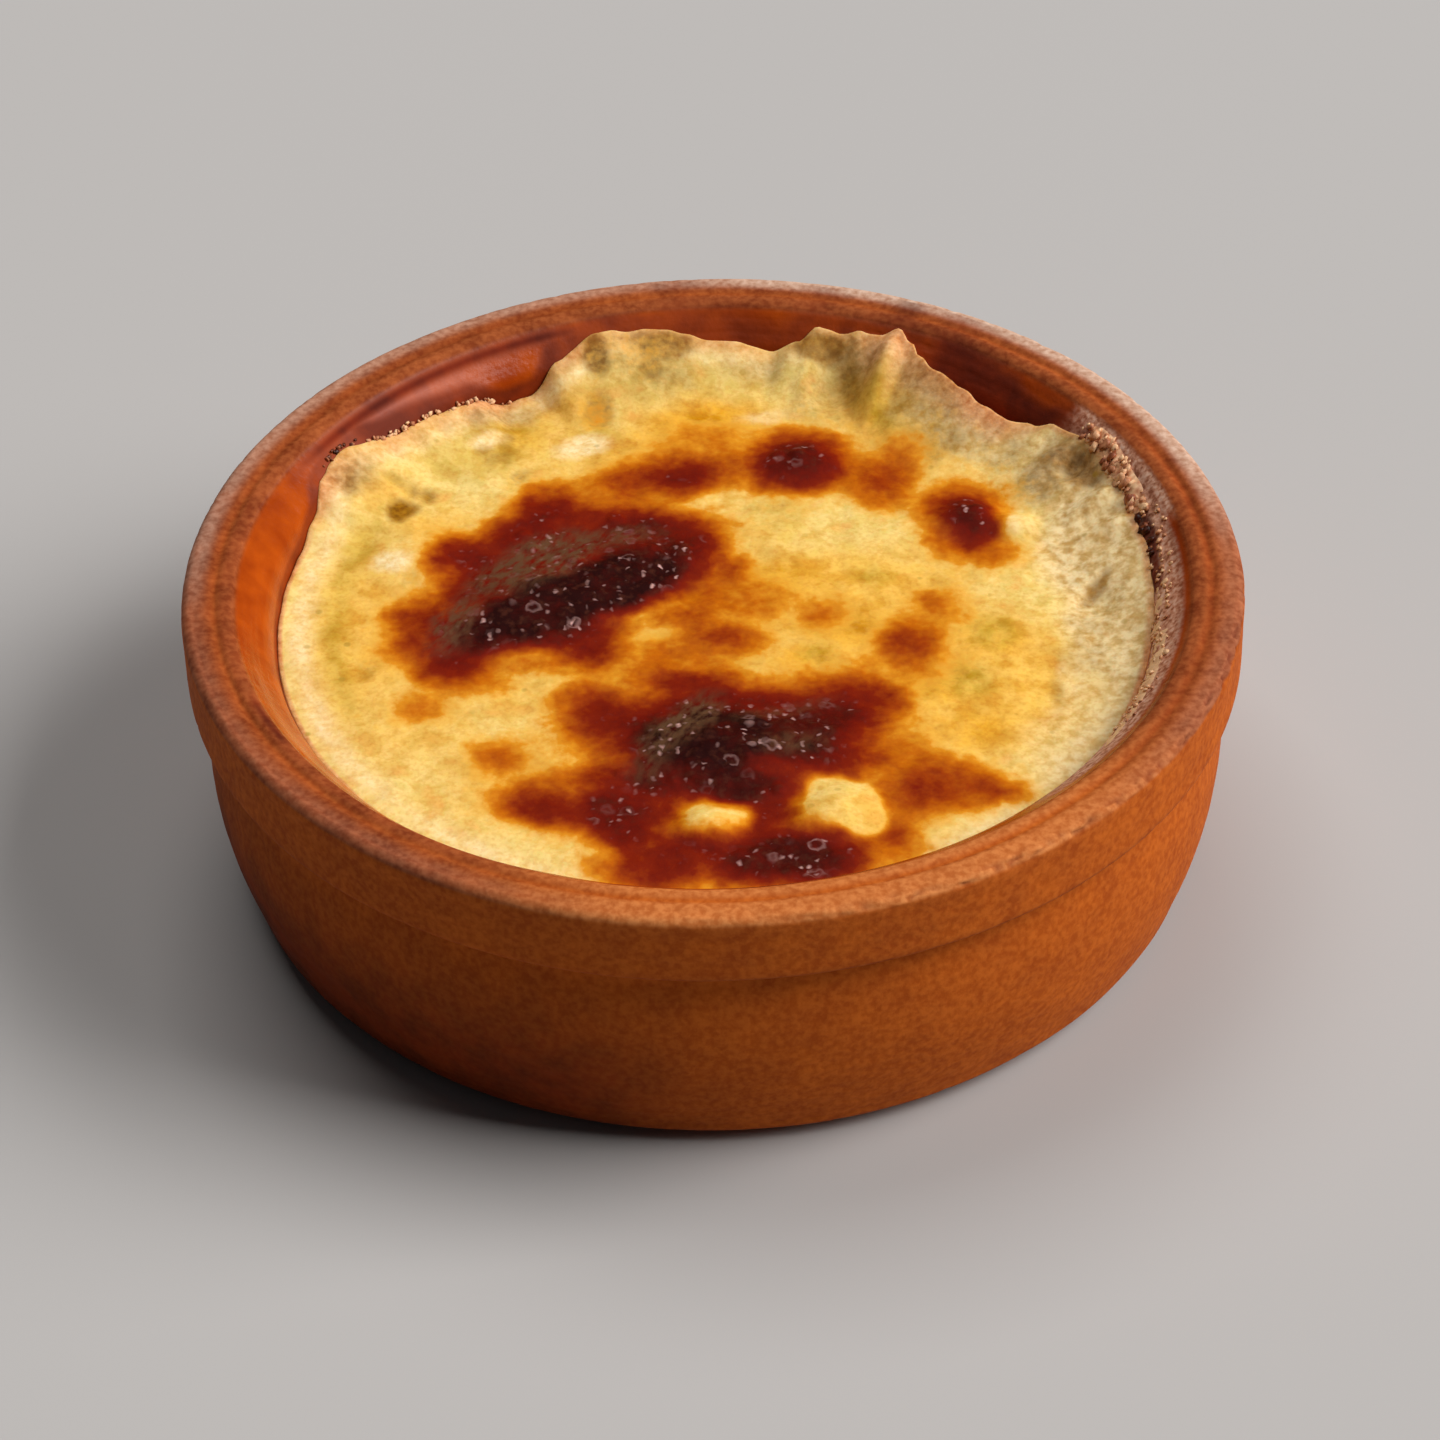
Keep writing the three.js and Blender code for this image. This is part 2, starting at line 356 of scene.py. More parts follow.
def stains_and_painted_shade(clay):
    """How dark each place on the clay is from old milk, smoke and handling, and from shade painted on it."""
    on_wall = [
        strength * arc_share(clay.degrees, middle, half_width, fade) * smooth(clay.over_skin, gone, fades)
        for middle, half_width, fade, strength, fades, gone in WALL_STAINS_AND_SHADE
    ]
    groove_wiped = 0.9 * arc_share(clay.degrees, -115, 60, 30)
    groove_worn = 0.6 * arc_share(clay.degrees, 70, 34, 12)
    # the crease under the lip is darkened, partly by glaze gathered in it and partly as painted shade
    under_lip = 0.05 + 0.3 * arc_share(clay.degrees, 12, 24, 14)
    under_lip = np.maximum(under_lip, 0.95 * arc_share(clay.degrees, 130, 16, 14))
    lip_line = band(clay.radius, LIP_RADIUS - 1.2, 0.7)
    lip_line = lip_line * smooth(clay.height, DISH_HEIGHT - 3, DISH_HEIGHT - 2)
    return np.maximum.reduce([
        np.maximum.reduce(on_wall) * clay.inner,
        under_lip * lip_line * clay.inner,
        0.8 * arc_share(clay.degrees, 207, 3, 4) * band(clay.radius, LIP_RADIUS + 0.5, 0.6) * clay.on_top,
        0.22 * arc_share(clay.degrees, 205, 38, 20) * clay.rim,
        # the groove round the rim is darkened, partly by dirt and partly as painted shade
        0.4 * clay.rim_groove * (1 - groove_wiped) * (1 - groove_worn),
        0.6 * clay.corner * clay.chipped,
        # painted shadow under the collar's overhang
        0.45 * band(clay.height, COLLAR_FOOT, 0.6) * clay.outer,
        # painted shade low on the body at the front left, away from the window light
        0.8 * arc_share(clay.degrees, 222, 28, 24) * smooth(clay.height, COLLAR_FOOT, 8) * clay.outer,
    ])


def crust_and_painted_light(clay):
    """How much pale dried milk covers each place on the inner wall, up to the lip at the right. On the right
    ledge, which the rim shades, it is spread further as painted light.
    """
    return clay.inner * np.maximum.reduce([
        arc_share(clay.degrees, -2, 22, 8) * smooth(clay.over_skin, 2.6, 1.6),
        0.95 * arc_share(clay.degrees, 23, 10, 4) * smooth(clay.radius, LIP_RADIUS + 0.2, LIP_RADIUS - 0.6),
        0.75 * arc_share(clay.degrees, -16, 26, 10) * smooth(clay.radius, LIP_RADIUS - 0.8, LIP_RADIUS - 1.6),
    ])


def make_dish():
    """The thrown clay dish, with its throwing lines, chips and the slight wander of a hand on the wheel."""
    section = stepped(dish_section())
    clay = thrown_surface(section)
    depth = worn_depth(clay, section)
    tangent = np.gradient(section, axis=0)
    tangent /= np.linalg.norm(tangent, axis=1)[:, None]
    inwards = tangent[:, ::-1] * [1, -1]  # into the clay, so nothing leaves the box
    lines = turned(clay.degrees, clay.radius + depth * inwards[:, 0], clay.height + depth * inwards[:, 1])
    dish = turned_piece("clay_dish", lines, (0, 0, FLOOR_THICKNESS), (0, 0, 0))

    # arcs at the back where the outer rim shows a pinkish grey, partly dust and partly a painted reflection
    scuffed_and_reflecting = np.maximum(0.4 * arc_share(clay.degrees, 130, 42, 16), arc_share(clay.degrees, 52, 28, 24))
    outer_rim = clay.rim * smooth(clay.radius, LIP_RADIUS + 2.8, LIP_RADIUS + 4.6)
    looks = {
        "glazed": clay.inner * smooth(clay.radius, LIP_RADIUS + 0.1, LIP_RADIUS - 0.5),
        # painted shade: the rim's top is darker away from the front, partly from smoke
        "smoked_and_painted_shade": 0.8 * clay.on_top * (1 - 0.9 * clay.front) * (1 - 0.4 * clay.rim_groove),
        # painted light: the rim's front and outer corner are paler, partly from wear
        "worn_and_painted_light": clay.front * (0.7 * clay.rim * (1 - clay.rim_groove) + 0.35 * clay.corner),
        # pinkish grey on the outer rim: dust, and a painted reflection
        "dusty_and_painted_reflection": outer_rim * (0.1 + 0.88 * scuffed_and_reflecting) * (1 - clay.front),
        # stains, with painted shade in the grooves, behind the skin, under the collar and at the front left
        "stained_and_painted_shade": stains_and_painted_shade(clay),
        # dried milk, also painted on the right ledge as light where the rim shades it
        "crust_and_painted_light": crust_and_painted_light(clay),
    }
    for name, values in looks.items():
        store(dish, name, [0, *np.broadcast_to(values, clay.radius.shape).ravel(), 0])
    return dish


# ------------------------------------------------------------------ the pudding

# The edge of the skin round the dish: angle, rise above the fill level, and how far it has pulled off
# the wall.
SKIN_EDGE = np.array([
    (3, 2.9, 0), (11, 3.6, 0), (20, 4.2, 0), (30, 5.1, 0), (37, 4.3, 0), (40, 3.3, 0.4), (43, 3.4, 2.2),
    (47, 4.3, 3.1), (52, 4.9, 3.1), (57, 5.4, 2.9), (60, 5.5, 1.7), (62, 6, 0.5), (64.5, 6.8, 0),
    (66.5, 6, 0), (69, 5.9, 0), (72, 5.3, 0), (75, 5.6, 0), (77.5, 4.2, 0), (81, 2.9, 0), (88, 3.8, 0),
    (97, 5.2, 0), (105, 5.6, 0), (111, 3.7, 0), (116, 0.2, 0), (119, 0, 0), (125, 2.2, 0), (137, 3, 0),
    (148, 5, 0), (153, 4.2, 0), (159, 1.8, 0), (164, 0.5, 0), (200, -0.4, 0), (322, -0.4, 0),
    (340, 0.8, 0), (350, 1.8, 0),
])

# How far in from its edge the skin is browned in most places, and arcs of the edge where it is browned
# further or less far: middle, half width, fade, and how much further.
EDGE_BROWNING = 1.2
EDGE_BROWNING_ARCS = [
    (54, 11, 6, 4.4),
    (63.5, 2, 4, 2.6),
    (88, 22, 10, 2),
    (138, 12, 11, 3.6),
    (205, 30, 20, -0.7),
    (-40, 16, 20, -0.6),
]

# Puckered stretches of the edge: first and last angle, number of folds, their length and depth.
PUCKERS = [
    (8, 37, 5, 7, 0.55),
    (60, 84, 3, 6, 0.35),
    (94, 113, 2.5, 6, 0.3),
    (114, 147, 7, 3.5, 0.3),
]

# Swellings and hollows of the skin: x, y, half length, half width, direction, height at the middle.
RELIEF = {
    "long scorched blister": (-18, 6, 24, 10, 26, 1.6),
    "broad scorched blister": (2, -26, 19, 10, -4, 1.5),
    "front island": (-1, -40, 5.4, 4.6, 0, 1.2),
    "front right island": (14, -38, 7, 6, 20, 1.4),
    "back scorched blister": (12, 32, 6.5, 6, 0, 1.1),
    "right scorched blister": (33, 19, 6, 5.6, 0, 1.2),
    "right island": (38.5, 17, 4, 3.8, 0, 1.3),
    "pocket behind the crest": (16.6, 47.6, 6, 4.6, 78, -2),
    "fold below the crest": (22.6, 46.6, 10, 2.6, 74, 1.7),
    "back left corner, beside": (-26, 43, 11, 4, 121, -0.4),
    "hollow at the right": (47.4, 25.4, 4.6, 3.6, -70, -1.4),
    "dent at the right": (48, 1, 5, 4, 90, -0.8),
    "swelling at the left": (-38, 14, 9, 7, 60, 0.8),
}

# The tables from here to CREASED list soft ovals of the skin: x, y, half length, half width, direction
# and strength. The long blister lies left of the middle, and the broad one in front of the middle. At the
# left corner, at 148 degrees, the edge stands high, and at the back left corner, at 117, it drops.

# Where the top element has caught the skin. The strength is how far it has gone: 0.2 golden, 0.4
# orange, 0.6 red-brown, 0.8 dark and 1 black.
SCORCHED = {
    "long blister, body": (-17, 10, 19, 9.4, 26, 0.74),
    "long blister, core": (-18.5, 2.6, 14, 5, 25, 1.0),
    "long blister, core top": (-9.4, 8.4, 5.8, 4.6, 12, 0.98),
    "long blister, core foot": (-30, -3, 4, 4, 50, 0.9),
    "long blister, below the core": (-20, -3, 8, 3, 6, 0.84),
    "long blister, above the film": (-23.5, 18.6, 7, 4, 34, 0.7),
    "long blister, top lobe": (-20.6, 22.8, 4.6, 4.6, 20, 0.7),
    "long blister, upper edge": (-10.4, 20, 7.4, 3.2, -14, 0.7),
    "long blister, above the edge": (-14.8, 22.6, 2.4, 1.5, 0, 0.62),
    "long blister, right end": (-4, 11, 4.6, 5.6, 0, 0.68),
    "long blister, above the right end": (-6.6, 22.8, 2, 1.4, 0, 0.5),
    "long blister, right tail": (2, 9.8, 2.6, 3, 0, 0.52),
    "long blister, right foot": (-0.4, 4.4, 2.4, 2.4, 0, 0.52),
    "long blister, beside the right foot": (-3.6, 0.6, 3.6, 2.6, 0, 0.53),
    "long blister, lower lobe": (-15.4, -6.6, 4.2, 3.2, 0, 0.7),
    "long blister, shoulder": (-31, 13, 4.4, 4.8, 10, 0.72),
    "long blister, left end": (-36, -1.5, 4.4, 6.5, 0, 0.6),
    "long blister, left foot": (-32, -8, 4, 4.2, -20, 0.74),
    "long blister, below the left foot": (-27.6, -11.8, 2, 1.6, 0, 0.4),
    "long blister, below the foot": (-23.4, -8.4, 3, 1.6, 0, 0.42),
    "long blister, halo": (-8.6, 27.2, 10, 4.2, 12, 0.38),
    "broad blister, body": (2, -22, 16.6, 7.6, 0, 0.76),
    "broad blister, core": (-1, -25.4, 9, 7, 0, 1.0),
    "broad blister, right core": (11, -24, 7.6, 5.2, 4, 0.76),
    "broad blister, left core": (-13.6, -30.8, 3, 3.2, -20, 0.64),
    "broad blister, lower core": (-8, -31.6, 4.4, 4, 0, 0.86),
    "broad blister, below the core": (2, -33, 8, 3.4, 0, 0.9),
    "broad blister, upper arm": (-3.4, -13, 6, 3, -4, 0.64),
    "broad blister, upper left": (-14.6, -18, 4, 5.4, 0, 0.64),
    "broad blister, upper right": (16.6, -17.6, 5.6, 5.2, 0, 0.67),
    "broad blister, notch": (10.6, -13.6, 3, 2, 0, 0.46),
    "broad blister, left lobe": (-20.4, -36, 5.4, 3.2, -20, 0.68),
    "broad blister, left glow": (-19, -31.4, 3, 2.4, 0, 0.44),
    "broad blister, lower left": (-12, -38, 6.4, 4.6, -48, 0.82),
    "broad blister, by the front island": (-6.4, -37.2, 2, 2.4, 0, 0.8),
    "broad blister, lower right": (11, -28.4, 7, 3.6, -6, 0.78),
    "broad blister, right foot": (19.6, -28, 3, 3, 0, 0.5),
    "broad blister, halo": (3, -23, 24, 11, -4, 0.26),
    "front island, beside": (6, -38, 2.6, 5, 0, 0.76),
    "front island, foot": (2.4, -40.8, 2, 1.2, 0, 0.7),
    "front island, below": (0, -43.6, 4, 1.4, 0, 0.6),
    "front right island, left foot": (10.2, -42.4, 3, 2, 0, 0.66),
    "front right island, beside": (19, -36.4, 2.4, 2.4, 0, 0.54),
    "front band": (7.8, -46.2, 9.4, 4.8, 2, 0.88),
    "front band, middle": (-2, -43.8, 3, 2, 0, 0.78),
    "front band, left": (-7, -46.4, 6.4, 5, 10, 0.66),
    "front right": (24, -35.2, 3, 4, 10, 0.55),
    "front right, low": (20.6, -42.4, 2.8, 3.8, 10, 0.52),
    "front right, tip": (33.2, -34.4, 2.3, 1.5, -10, 0.57),
    "front right, halo": (26.4, -32.8, 7.4, 4.6, -14, 0.5),
    "front left, low": (-18.4, -40.4, 2.4, 1.6, -20, 0.32),
    "front left freckle": (-25.6, -26.4, 3.2, 3.2, 0, 0.42),
    "left freckle": (-35.8, -16, 3, 2.4, 0, 0.38),
    "left freckle, above": (-33, -12.4, 3, 2.4, 0, 0.2),
    "middle patch": (1, -4.4, 4.4, 3, -20, 0.57),
    "middle patch, above": (4.6, 3, 4.4, 4.6, 30, 0.36),
    "middle patch, left": (-4, -8, 7, 4, 10, 0.38),
    "middle freckle": (13.6, 0, 2.6, 2.8, 0, 0.41),
    "middle freckle, below": (18.6, -10.4, 3, 2, 0, 0.3),
    "right freckle": (24, -5.8, 3.4, 3.6, 0, 0.6),
    "right freckle, above": (27.6, 1.6, 2.4, 2.2, 0, 0.46),
    "right freckle, beside": (29.4, -1, 2.4, 2.4, 0, 0.3),
    "right freckle, below": (24, -11, 3.4, 3, 0, 0.34),
    "right freckle, low": (28.4, -9.4, 2, 1.8, 0, 0.3),
    "right blister": (32.6, 18.6, 6.2, 3.5, 98, 0.84),
    "right blister, beside": (35.6, 22, 2, 3, -10, 0.5),
    "right blister, below": (36.4, 11.4, 2.2, 2.2, 0, 0.42),
    "right blister, halo": (31.6, 18.4, 8, 5.4, 98, 0.44),
    "back blister": (11.4, 32, 6.2, 6.4, 0, 0.8),
    "back blister, right halo": (18.4, 32.6, 2, 2, 0, 0.42),
    "back left blister": (-3, 29.7, 4.8, 3.8, 20, 0.74),
    "back left blister, halo": (-8.4, 30, 7, 4.6, 25, 0.46),
    "back left blister, upper halo": (-1, 37, 7, 4.4, 10, 0.29),
    "between the back blisters": (3, 31.6, 2.2, 3.6, 0, 0.48),
    "back right": (21.8, 27.4, 3.6, 5, 10, 0.5),
    "back right, above": (24.6, 33, 3, 3, 0, 0.4),
    "back right, halo": (21, 28.4, 7, 5.6, 0, 0.32),
    "back smudge": (-15, 44, 1.6, 2.2, 0, 0.24),
    "crest smudge": (-11, 53, 4, 1.6, -5, 0.14),
}

# Small blisters that have stayed pale among the scorched ones.
PALE_ISLANDS = {
    "front": (0, -38.6, 4.4, 3.1, 0, 0.52),
    "front right": (15.4, -36.8, 5.6, 4, -52, 0.92),
    "beside the right blister": (38.6, 16.6, 1.9, 2.2, 0, 0.56),
}

# The dull grey-brown film on the tops of the two large blisters.
BURNT_FILM = {
    "long blister": (-22, 11, 9, 4.6, 38, 0.9),
    "long blister, right": (-12.8, 16.4, 5, 2.2, 8, 0.65),
    "long blister, foot": (-32, 0, 2.2, 5, -20, 0.8),
    "broad blister": (-4, -22, 6, 2.6, 55, 0.9),
    "broad blister, left": (-7, -27.4, 4, 1.6, 50, 0.6),
    "broad blister, right": (8, -19.4, 5, 1.2, 22, 0.4),
    "broad blister, low right": (9, -26, 3.6, 1.6, 10, 0.5),
}

# Where the skin is butter yellow.
BUTTERY = {
    "middle": (12, 4, 17, 9, 10, 0.8),
    "left of the middle": (-7, -10, 13, 8, 0, 0.9),
    "right": (28, -13, 17, 15, -30, 0.75),
    "left": (-44, -2, 5.4, 18, 0, 0.7),
    "by the left wall": (-47, -6, 3, 16, 0, 0.4),
    "lower left": (-36, -20, 9, 7, 30, 0.5),
    "front left": (-24, -30, 9, 7, 0, 0.5),
    "beside the front right island": (18, -40, 8, 6, 0, 0.5),
    "left of the long blister": (-34.6, 21, 3.6, 3, 0, 0.6),
    "below the long blister": (-24, -14, 6, 4.4, 0, 0.6),
    "below the back blister": (8, 16, 4, 4, 0, 0.5),
    "behind the back blisters": (-1, 41, 9, 5, 10, 0.9),
    "back left": (-19, 36, 8, 8, 0, 0.5),
}

# Where it is a deeper yellow.
GOLDEN = {
    "between the blisters": (-6, -9, 8, 4, 0, 0.6),
    "beside the long blister": (6.6, 5.6, 5, 4.6, 0, 0.85),
    "right of the middle": (17, -3, 6, 4, 0, 0.8),
    "right of the middle, low": (11.2, -8.8, 3.6, 2.8, 0, 0.95),
    "right freckle, above": (29.4, 5.8, 2.2, 2, 0, 0.5),
    "right": (25.5, -13.4, 5, 3.6, -20, 0.9),
    "right, by the dried border": (35, -4.8, 3, 2.6, 0, 0.8),
    "right, low": (32, -23, 3, 2.4, 0, 0.8),
    "left of the long blister": (-39, -4, 4, 7, 0, 0.35),
    "above the long blister": (-36.8, 19, 2.6, 2.2, 0, 0.45),
    "front left": (-25, -27, 6, 4, 0, 0.4),
    "left corner": (-42, 26, 3, 2, 30, 0.6),
    "back left corner": (-26, 39.8, 4, 3, 30, 0.6),
    "back left corner, below its edge": (-24.4, 40.6, 3, 1.8, 20, 0.6),
    "back left slope": (-18.5, 45.4, 4.5, 2.8, 0, 0.5),
    "back left slope, top": (-21.4, 46.6, 2.6, 2, 0, 0.9),
    "left of the back blisters": (-10, 35, 6, 4, 40, 0.6),
    "behind the back blisters": (0.8, 41, 6.2, 3.8, 4, 1.0),
    "back right slope": (24, 39, 9, 4.6, -50, 0.75),
}

# Where it is greener: partly thin skin, and partly painted shade on the back slopes, the flap and folds.
OLIVE = {
    "flap": (28, 41, 10, 6, -40, 0.7),
    "back crest": (-3, 50, 14, 4, 0, 0.25),
    "back left slope": (-30, 36, 8, 5, 35, 0.5),
    "back left corner, below its edge": (-24.6, 41.4, 2.4, 1.6, 0, 0.6),
    "below the back left crest": (-14.6, 40.8, 2.4, 2, 0, 0.55),
    "left arc": (-44.4, 16, 5, 1.6, 70, 0.8),
    "long blister, above its tail": (8, 21, 3, 4, 30, 0.35),
    "below the back blister": (20, 8, 2, 2, 0, 0.5),
    "middle": (12.4, -8, 1.6, 1.8, 0, 0.7),
    "right": (34, -4, 3.4, 3, 0, 0.7),
    "right, low": (31, -13, 3, 3, 0, 0.7),
    "right island, beside": (39.6, 15.6, 2, 1.6, 0, 0.4),
}

# Where it is palest: partly its own paler skin, and partly painted light on slopes that turn away from the
# lamps.
PALE_SPOTS = {
    "left": (-40.2, 12.6, 2, 2.2, 0, 1.0),
    "back left slope": (-29.4, 38, 2, 1.2, 20, 0.8),
    "back left slope, middle": (-16.6, 37.2, 3, 2, 20, 0.95),
    "back left crest": (-21.6, 48, 1.8, 1.4, 0, 0.6),
    "behind the back blisters": (7.4, 42.4, 3.2, 1.4, 0, 0.55),
    "right island": (38.6, 16.8, 1.6, 1.8, 0, 0.7),
    "right, top": (46, 9, 0.8, 3.4, 0, 0.6),
    "right": (46, 3.4, 1.2, 3.4, 0, 0.8),
    "right, low": (44, -14, 1.6, 3, 0, 0.4),
}

# Where it has dried whitish and curdled.
DRIED = {
    "back right slope": (34, 37, 10, 5, -40, 0.6),
    "hollow": (45, 27, 6, 5, 30, 0.8),
    "right, top": (49, 14, 7, 13, -10, 1.0),
    "right": (50, -4, 6, 14, 6, 0.9),
    "right, low": (45, -22, 5, 12, -30, 0.45),
}

# Where it is smudged brown, and where painted shade darkens the pocket behind the crest, the hollow at the
# right and the corners.
SOILED_AND_SHADED = {
    "back crest, middle": (6.6, 50.8, 3, 2, 0, 0.35),
    "back crest, left": (-5, 49.8, 3, 2.4, 0, 0.4),
    "back crest, far left": (-12, 52, 2, 1.6, 0, 0.3),
    "back left crest": (-10, 52, 2, 4, 10, 0.4),
    "back crest, right": (13.8, 46, 2.2, 4, -10, 0.4),
    "pocket": (19.2, 50, 2.4, 3.2, -12, 0.5),
    "pocket, foot": (16.5, 46, 3, 4.4, -15, 0.3),
    "back right slope": (31, 42, 8, 3, -42, 0.2),
    "back right slope, right": (36.5, 33, 5, 3, -40, 0.3),
    "hollow": (47.4, 26, 4.2, 2.5, -62, 0.85),
    "hollow, above": (44.8, 28.4, 2.6, 2, 0, 0.8),
    "hollow, beside": (42.4, 25, 3.4, 3, 0, 0.55),
    "hollow, below": (52, 22, 1.4, 2.8, 15, 0.6),
    "right": (47, -3.2, 1.8, 1.6, 0, 0.2),
    "right, low": (45.2, -9.8, 2.4, 3, 0, 0.26),
    "back left corner": (-29, 43, 2.8, 1.5, 35, 0.5),
    "back left corner, beside": (-24.2, 45, 2.6, 1.6, 10, 0.4),
    "left corner": (-45.4, 27.6, 3, 2.4, 40, 0.5),
}

# Thin creases and pores where it is folded or has stuck: they sink it a little and are darkened as painted
# shade.
CREASED = {
    "left corner": (-39.6, 23.2, 1.7, 1.2, 52, 1.0),
    "left corner, pore": (-36.2, 26.8, 0.4, 0.5, 0, 0.9),
    "left corner, second pore": (-38.2, 27.4, 0.4, 0.6, 0, 0.6),
    "left corner, third pore": (-40.4, 28.6, 0.7, 0.4, -30, 0.5),
    "left corner, by the wall": (-46.2, 26, 0.5, 1.4, 0, 0.6),
    "left pore": (-38, 9, 0.6, 1, 10, 0.4),
    "left, lower pore": (-43, -9, 0.5, 1, 0, 0.4),
    "back left fold": (-26.6, 40.5, 0.6, 5.4, 0, 0.4),
    "back left fold, foot": (-27.6, 35, 1.6, 0.6, 30, 0.4),
    "back left pore": (-30, 36, 0.4, 0.5, 0, 0.4),
    "back left, lower pore": (-24.6, 30.6, 0.4, 0.6, 0, 0.6),
    "back smudge": (-14.6, 44, 1.6, 2, 0, 0.8),
    "back left crest, left": (-14.6, 52.4, 1.4, 2.4, 10, 0.8),
    "back left crest, middle": (-7.6, 51.4, 0.9, 1.6, 0, 0.6),
    "back left crest": (-5.4, 54.2, 3, 1.6, 0, 0.8),
    "back crest": (15, 52.6, 3, 1.6, -10, 0.8),
    "pocket": (18.8, 48, 0.9, 5, -4, 0.5),
    "back right slope": (28, 42, 5, 3, -45, 0.3),
    "back right slope, low": (29, 34.6, 3, 2.4, -30, 0.4),
    "right dent": (47.6, 3.4, 0.7, 2.4, -30, 0.6),
    "right, low dent": (41.6, -17, 0.6, 1.6, 0, 0.4),
}


def round_the_edge(degrees, column):
    """One quantity of the skin's edge at each angle, run smoothly between the listed places."""
    at = SKIN_EDGE[:, 0]
    after = np.searchsorted(at, degrees, side="right") % len(at)
    before = after - 1
    share = (degrees - at[before]) % 360 / ((at[after] - at[before]) % 360)
    start, end = SKIN_EDGE[before, column], SKIN_EDGE[after, column]
    return start + (end - start) * smooth(share, 0, 1)


def in_oval(x, y, oval):
    """Squared distance from the middle of an oval, as a share of its half length and half width."""
    east, north, length, width, direction = oval[:5]
    turn = math.radians(direction)
    along = ((x - east) * math.cos(turn) + (y - north) * math.sin(turn)) / length
    across = ((y - north) * math.cos(turn) - (x - east) * math.sin(turn)) / width
    return along**2 + across**2


def relief(x, y):
    """The height that the swellings and hollows add, each a smooth oval mound."""
    total = np.zeros_like(x)
    for mound in RELIEF.values():
        total += mound[5] * np.clip(1 - in_oval(x, y, mound), 0, None) ** 2
    return total


def puckers(degrees, from_edge):
    """Small folds that run in from the edge of the skin where it has shrunk round the wall."""
    total = np.zeros_like(from_edge)
    for first, last, folds, length, depth in PUCKERS:
        share = (degrees - first) / (last - first)
        wave = np.sin(2 * np.pi * folds * share) * np.clip(4 * share * (1 - share), 0, 1)
        total += depth * wave * band(from_edge, -0.4 * length, 0.6 * length)
    return total


def patches(x, y, ovals, inside, outside, sharpness=5):
    """The strength of soft oval patches, which fade from inside to outside millimetres past the border."""
    total = np.zeros_like(x)
    for oval in ovals.values():
        beyond = (np.sqrt(in_oval(x, y, oval)) - 1) * math.sqrt(oval[2] * oval[3])
        total += (oval[5] * (1 - smooth(beyond, -inside, outside))) ** sharpness
    return np.clip(total ** (1 / sharpness), 0, 1)


def bubbles(x, y, chance, count, smallest, largest, reach, seed):
    """The height, as a share of the largest radius, of round bubbles strewn where chance lets them be."""
    draw = random.Random(seed)
    height = np.zeros_like(x)
    for _ in range(count):
        east, north = draw.uniform(-reach, reach), draw.uniform(-reach, reach)
        radius = draw.uniform(smallest, largest)
        near = np.nonzero((np.abs(x - east) < radius) & (np.abs(y - north) < radius))
        if len(near[0]) == 0 or draw.random() > chance[near].mean():
            continue
        inside = 1 - ((x[near] - east) ** 2 + (y[near] - north) ** 2) / radius**2
        dome = np.sqrt(np.clip(inside, 0, 1)) * radius / largest
        height[near] = np.maximum(height[near], dome)
    return height


def skin_edge():
    """The edge of the skin, as columns. It wanders a little where it clings to the clay."""
    degrees = round_about(SKIN_LINES)
    ring = turned(degrees, FILL_RADIUS, 0)
    wander = 0.3 * lumps(ring, 5.0, 2.2) + 0.2 * lumps(ring, 1.7, 6.1)
    rise = round_the_edge(degrees, 1) + wander
    pulled = round_the_edge(degrees, 2)
    height = FILL_LEVEL + rise
    off_the_clay = 0.15
    radius = wall_radius(height) - pulled - off_the_clay
    return SimpleNamespace(degrees=degrees, rise=rise, pulled=pulled, height=height, radius=radius)


def swayed(flat):
    """Places moved a millimetre or so this way and that, so that no patch has a smooth border."""
    aside = 1.1 * lumps(flat, 4.5, 1.3) + 0.5 * lumps(flat, 1.6, 7.7)
    onwards = 1.1 * lumps(flat, 4.5, 4.9) + 0.5 * lumps(flat, 1.6, 9.4)
    return flat[..., 0] + aside, flat[..., 1] + onwards


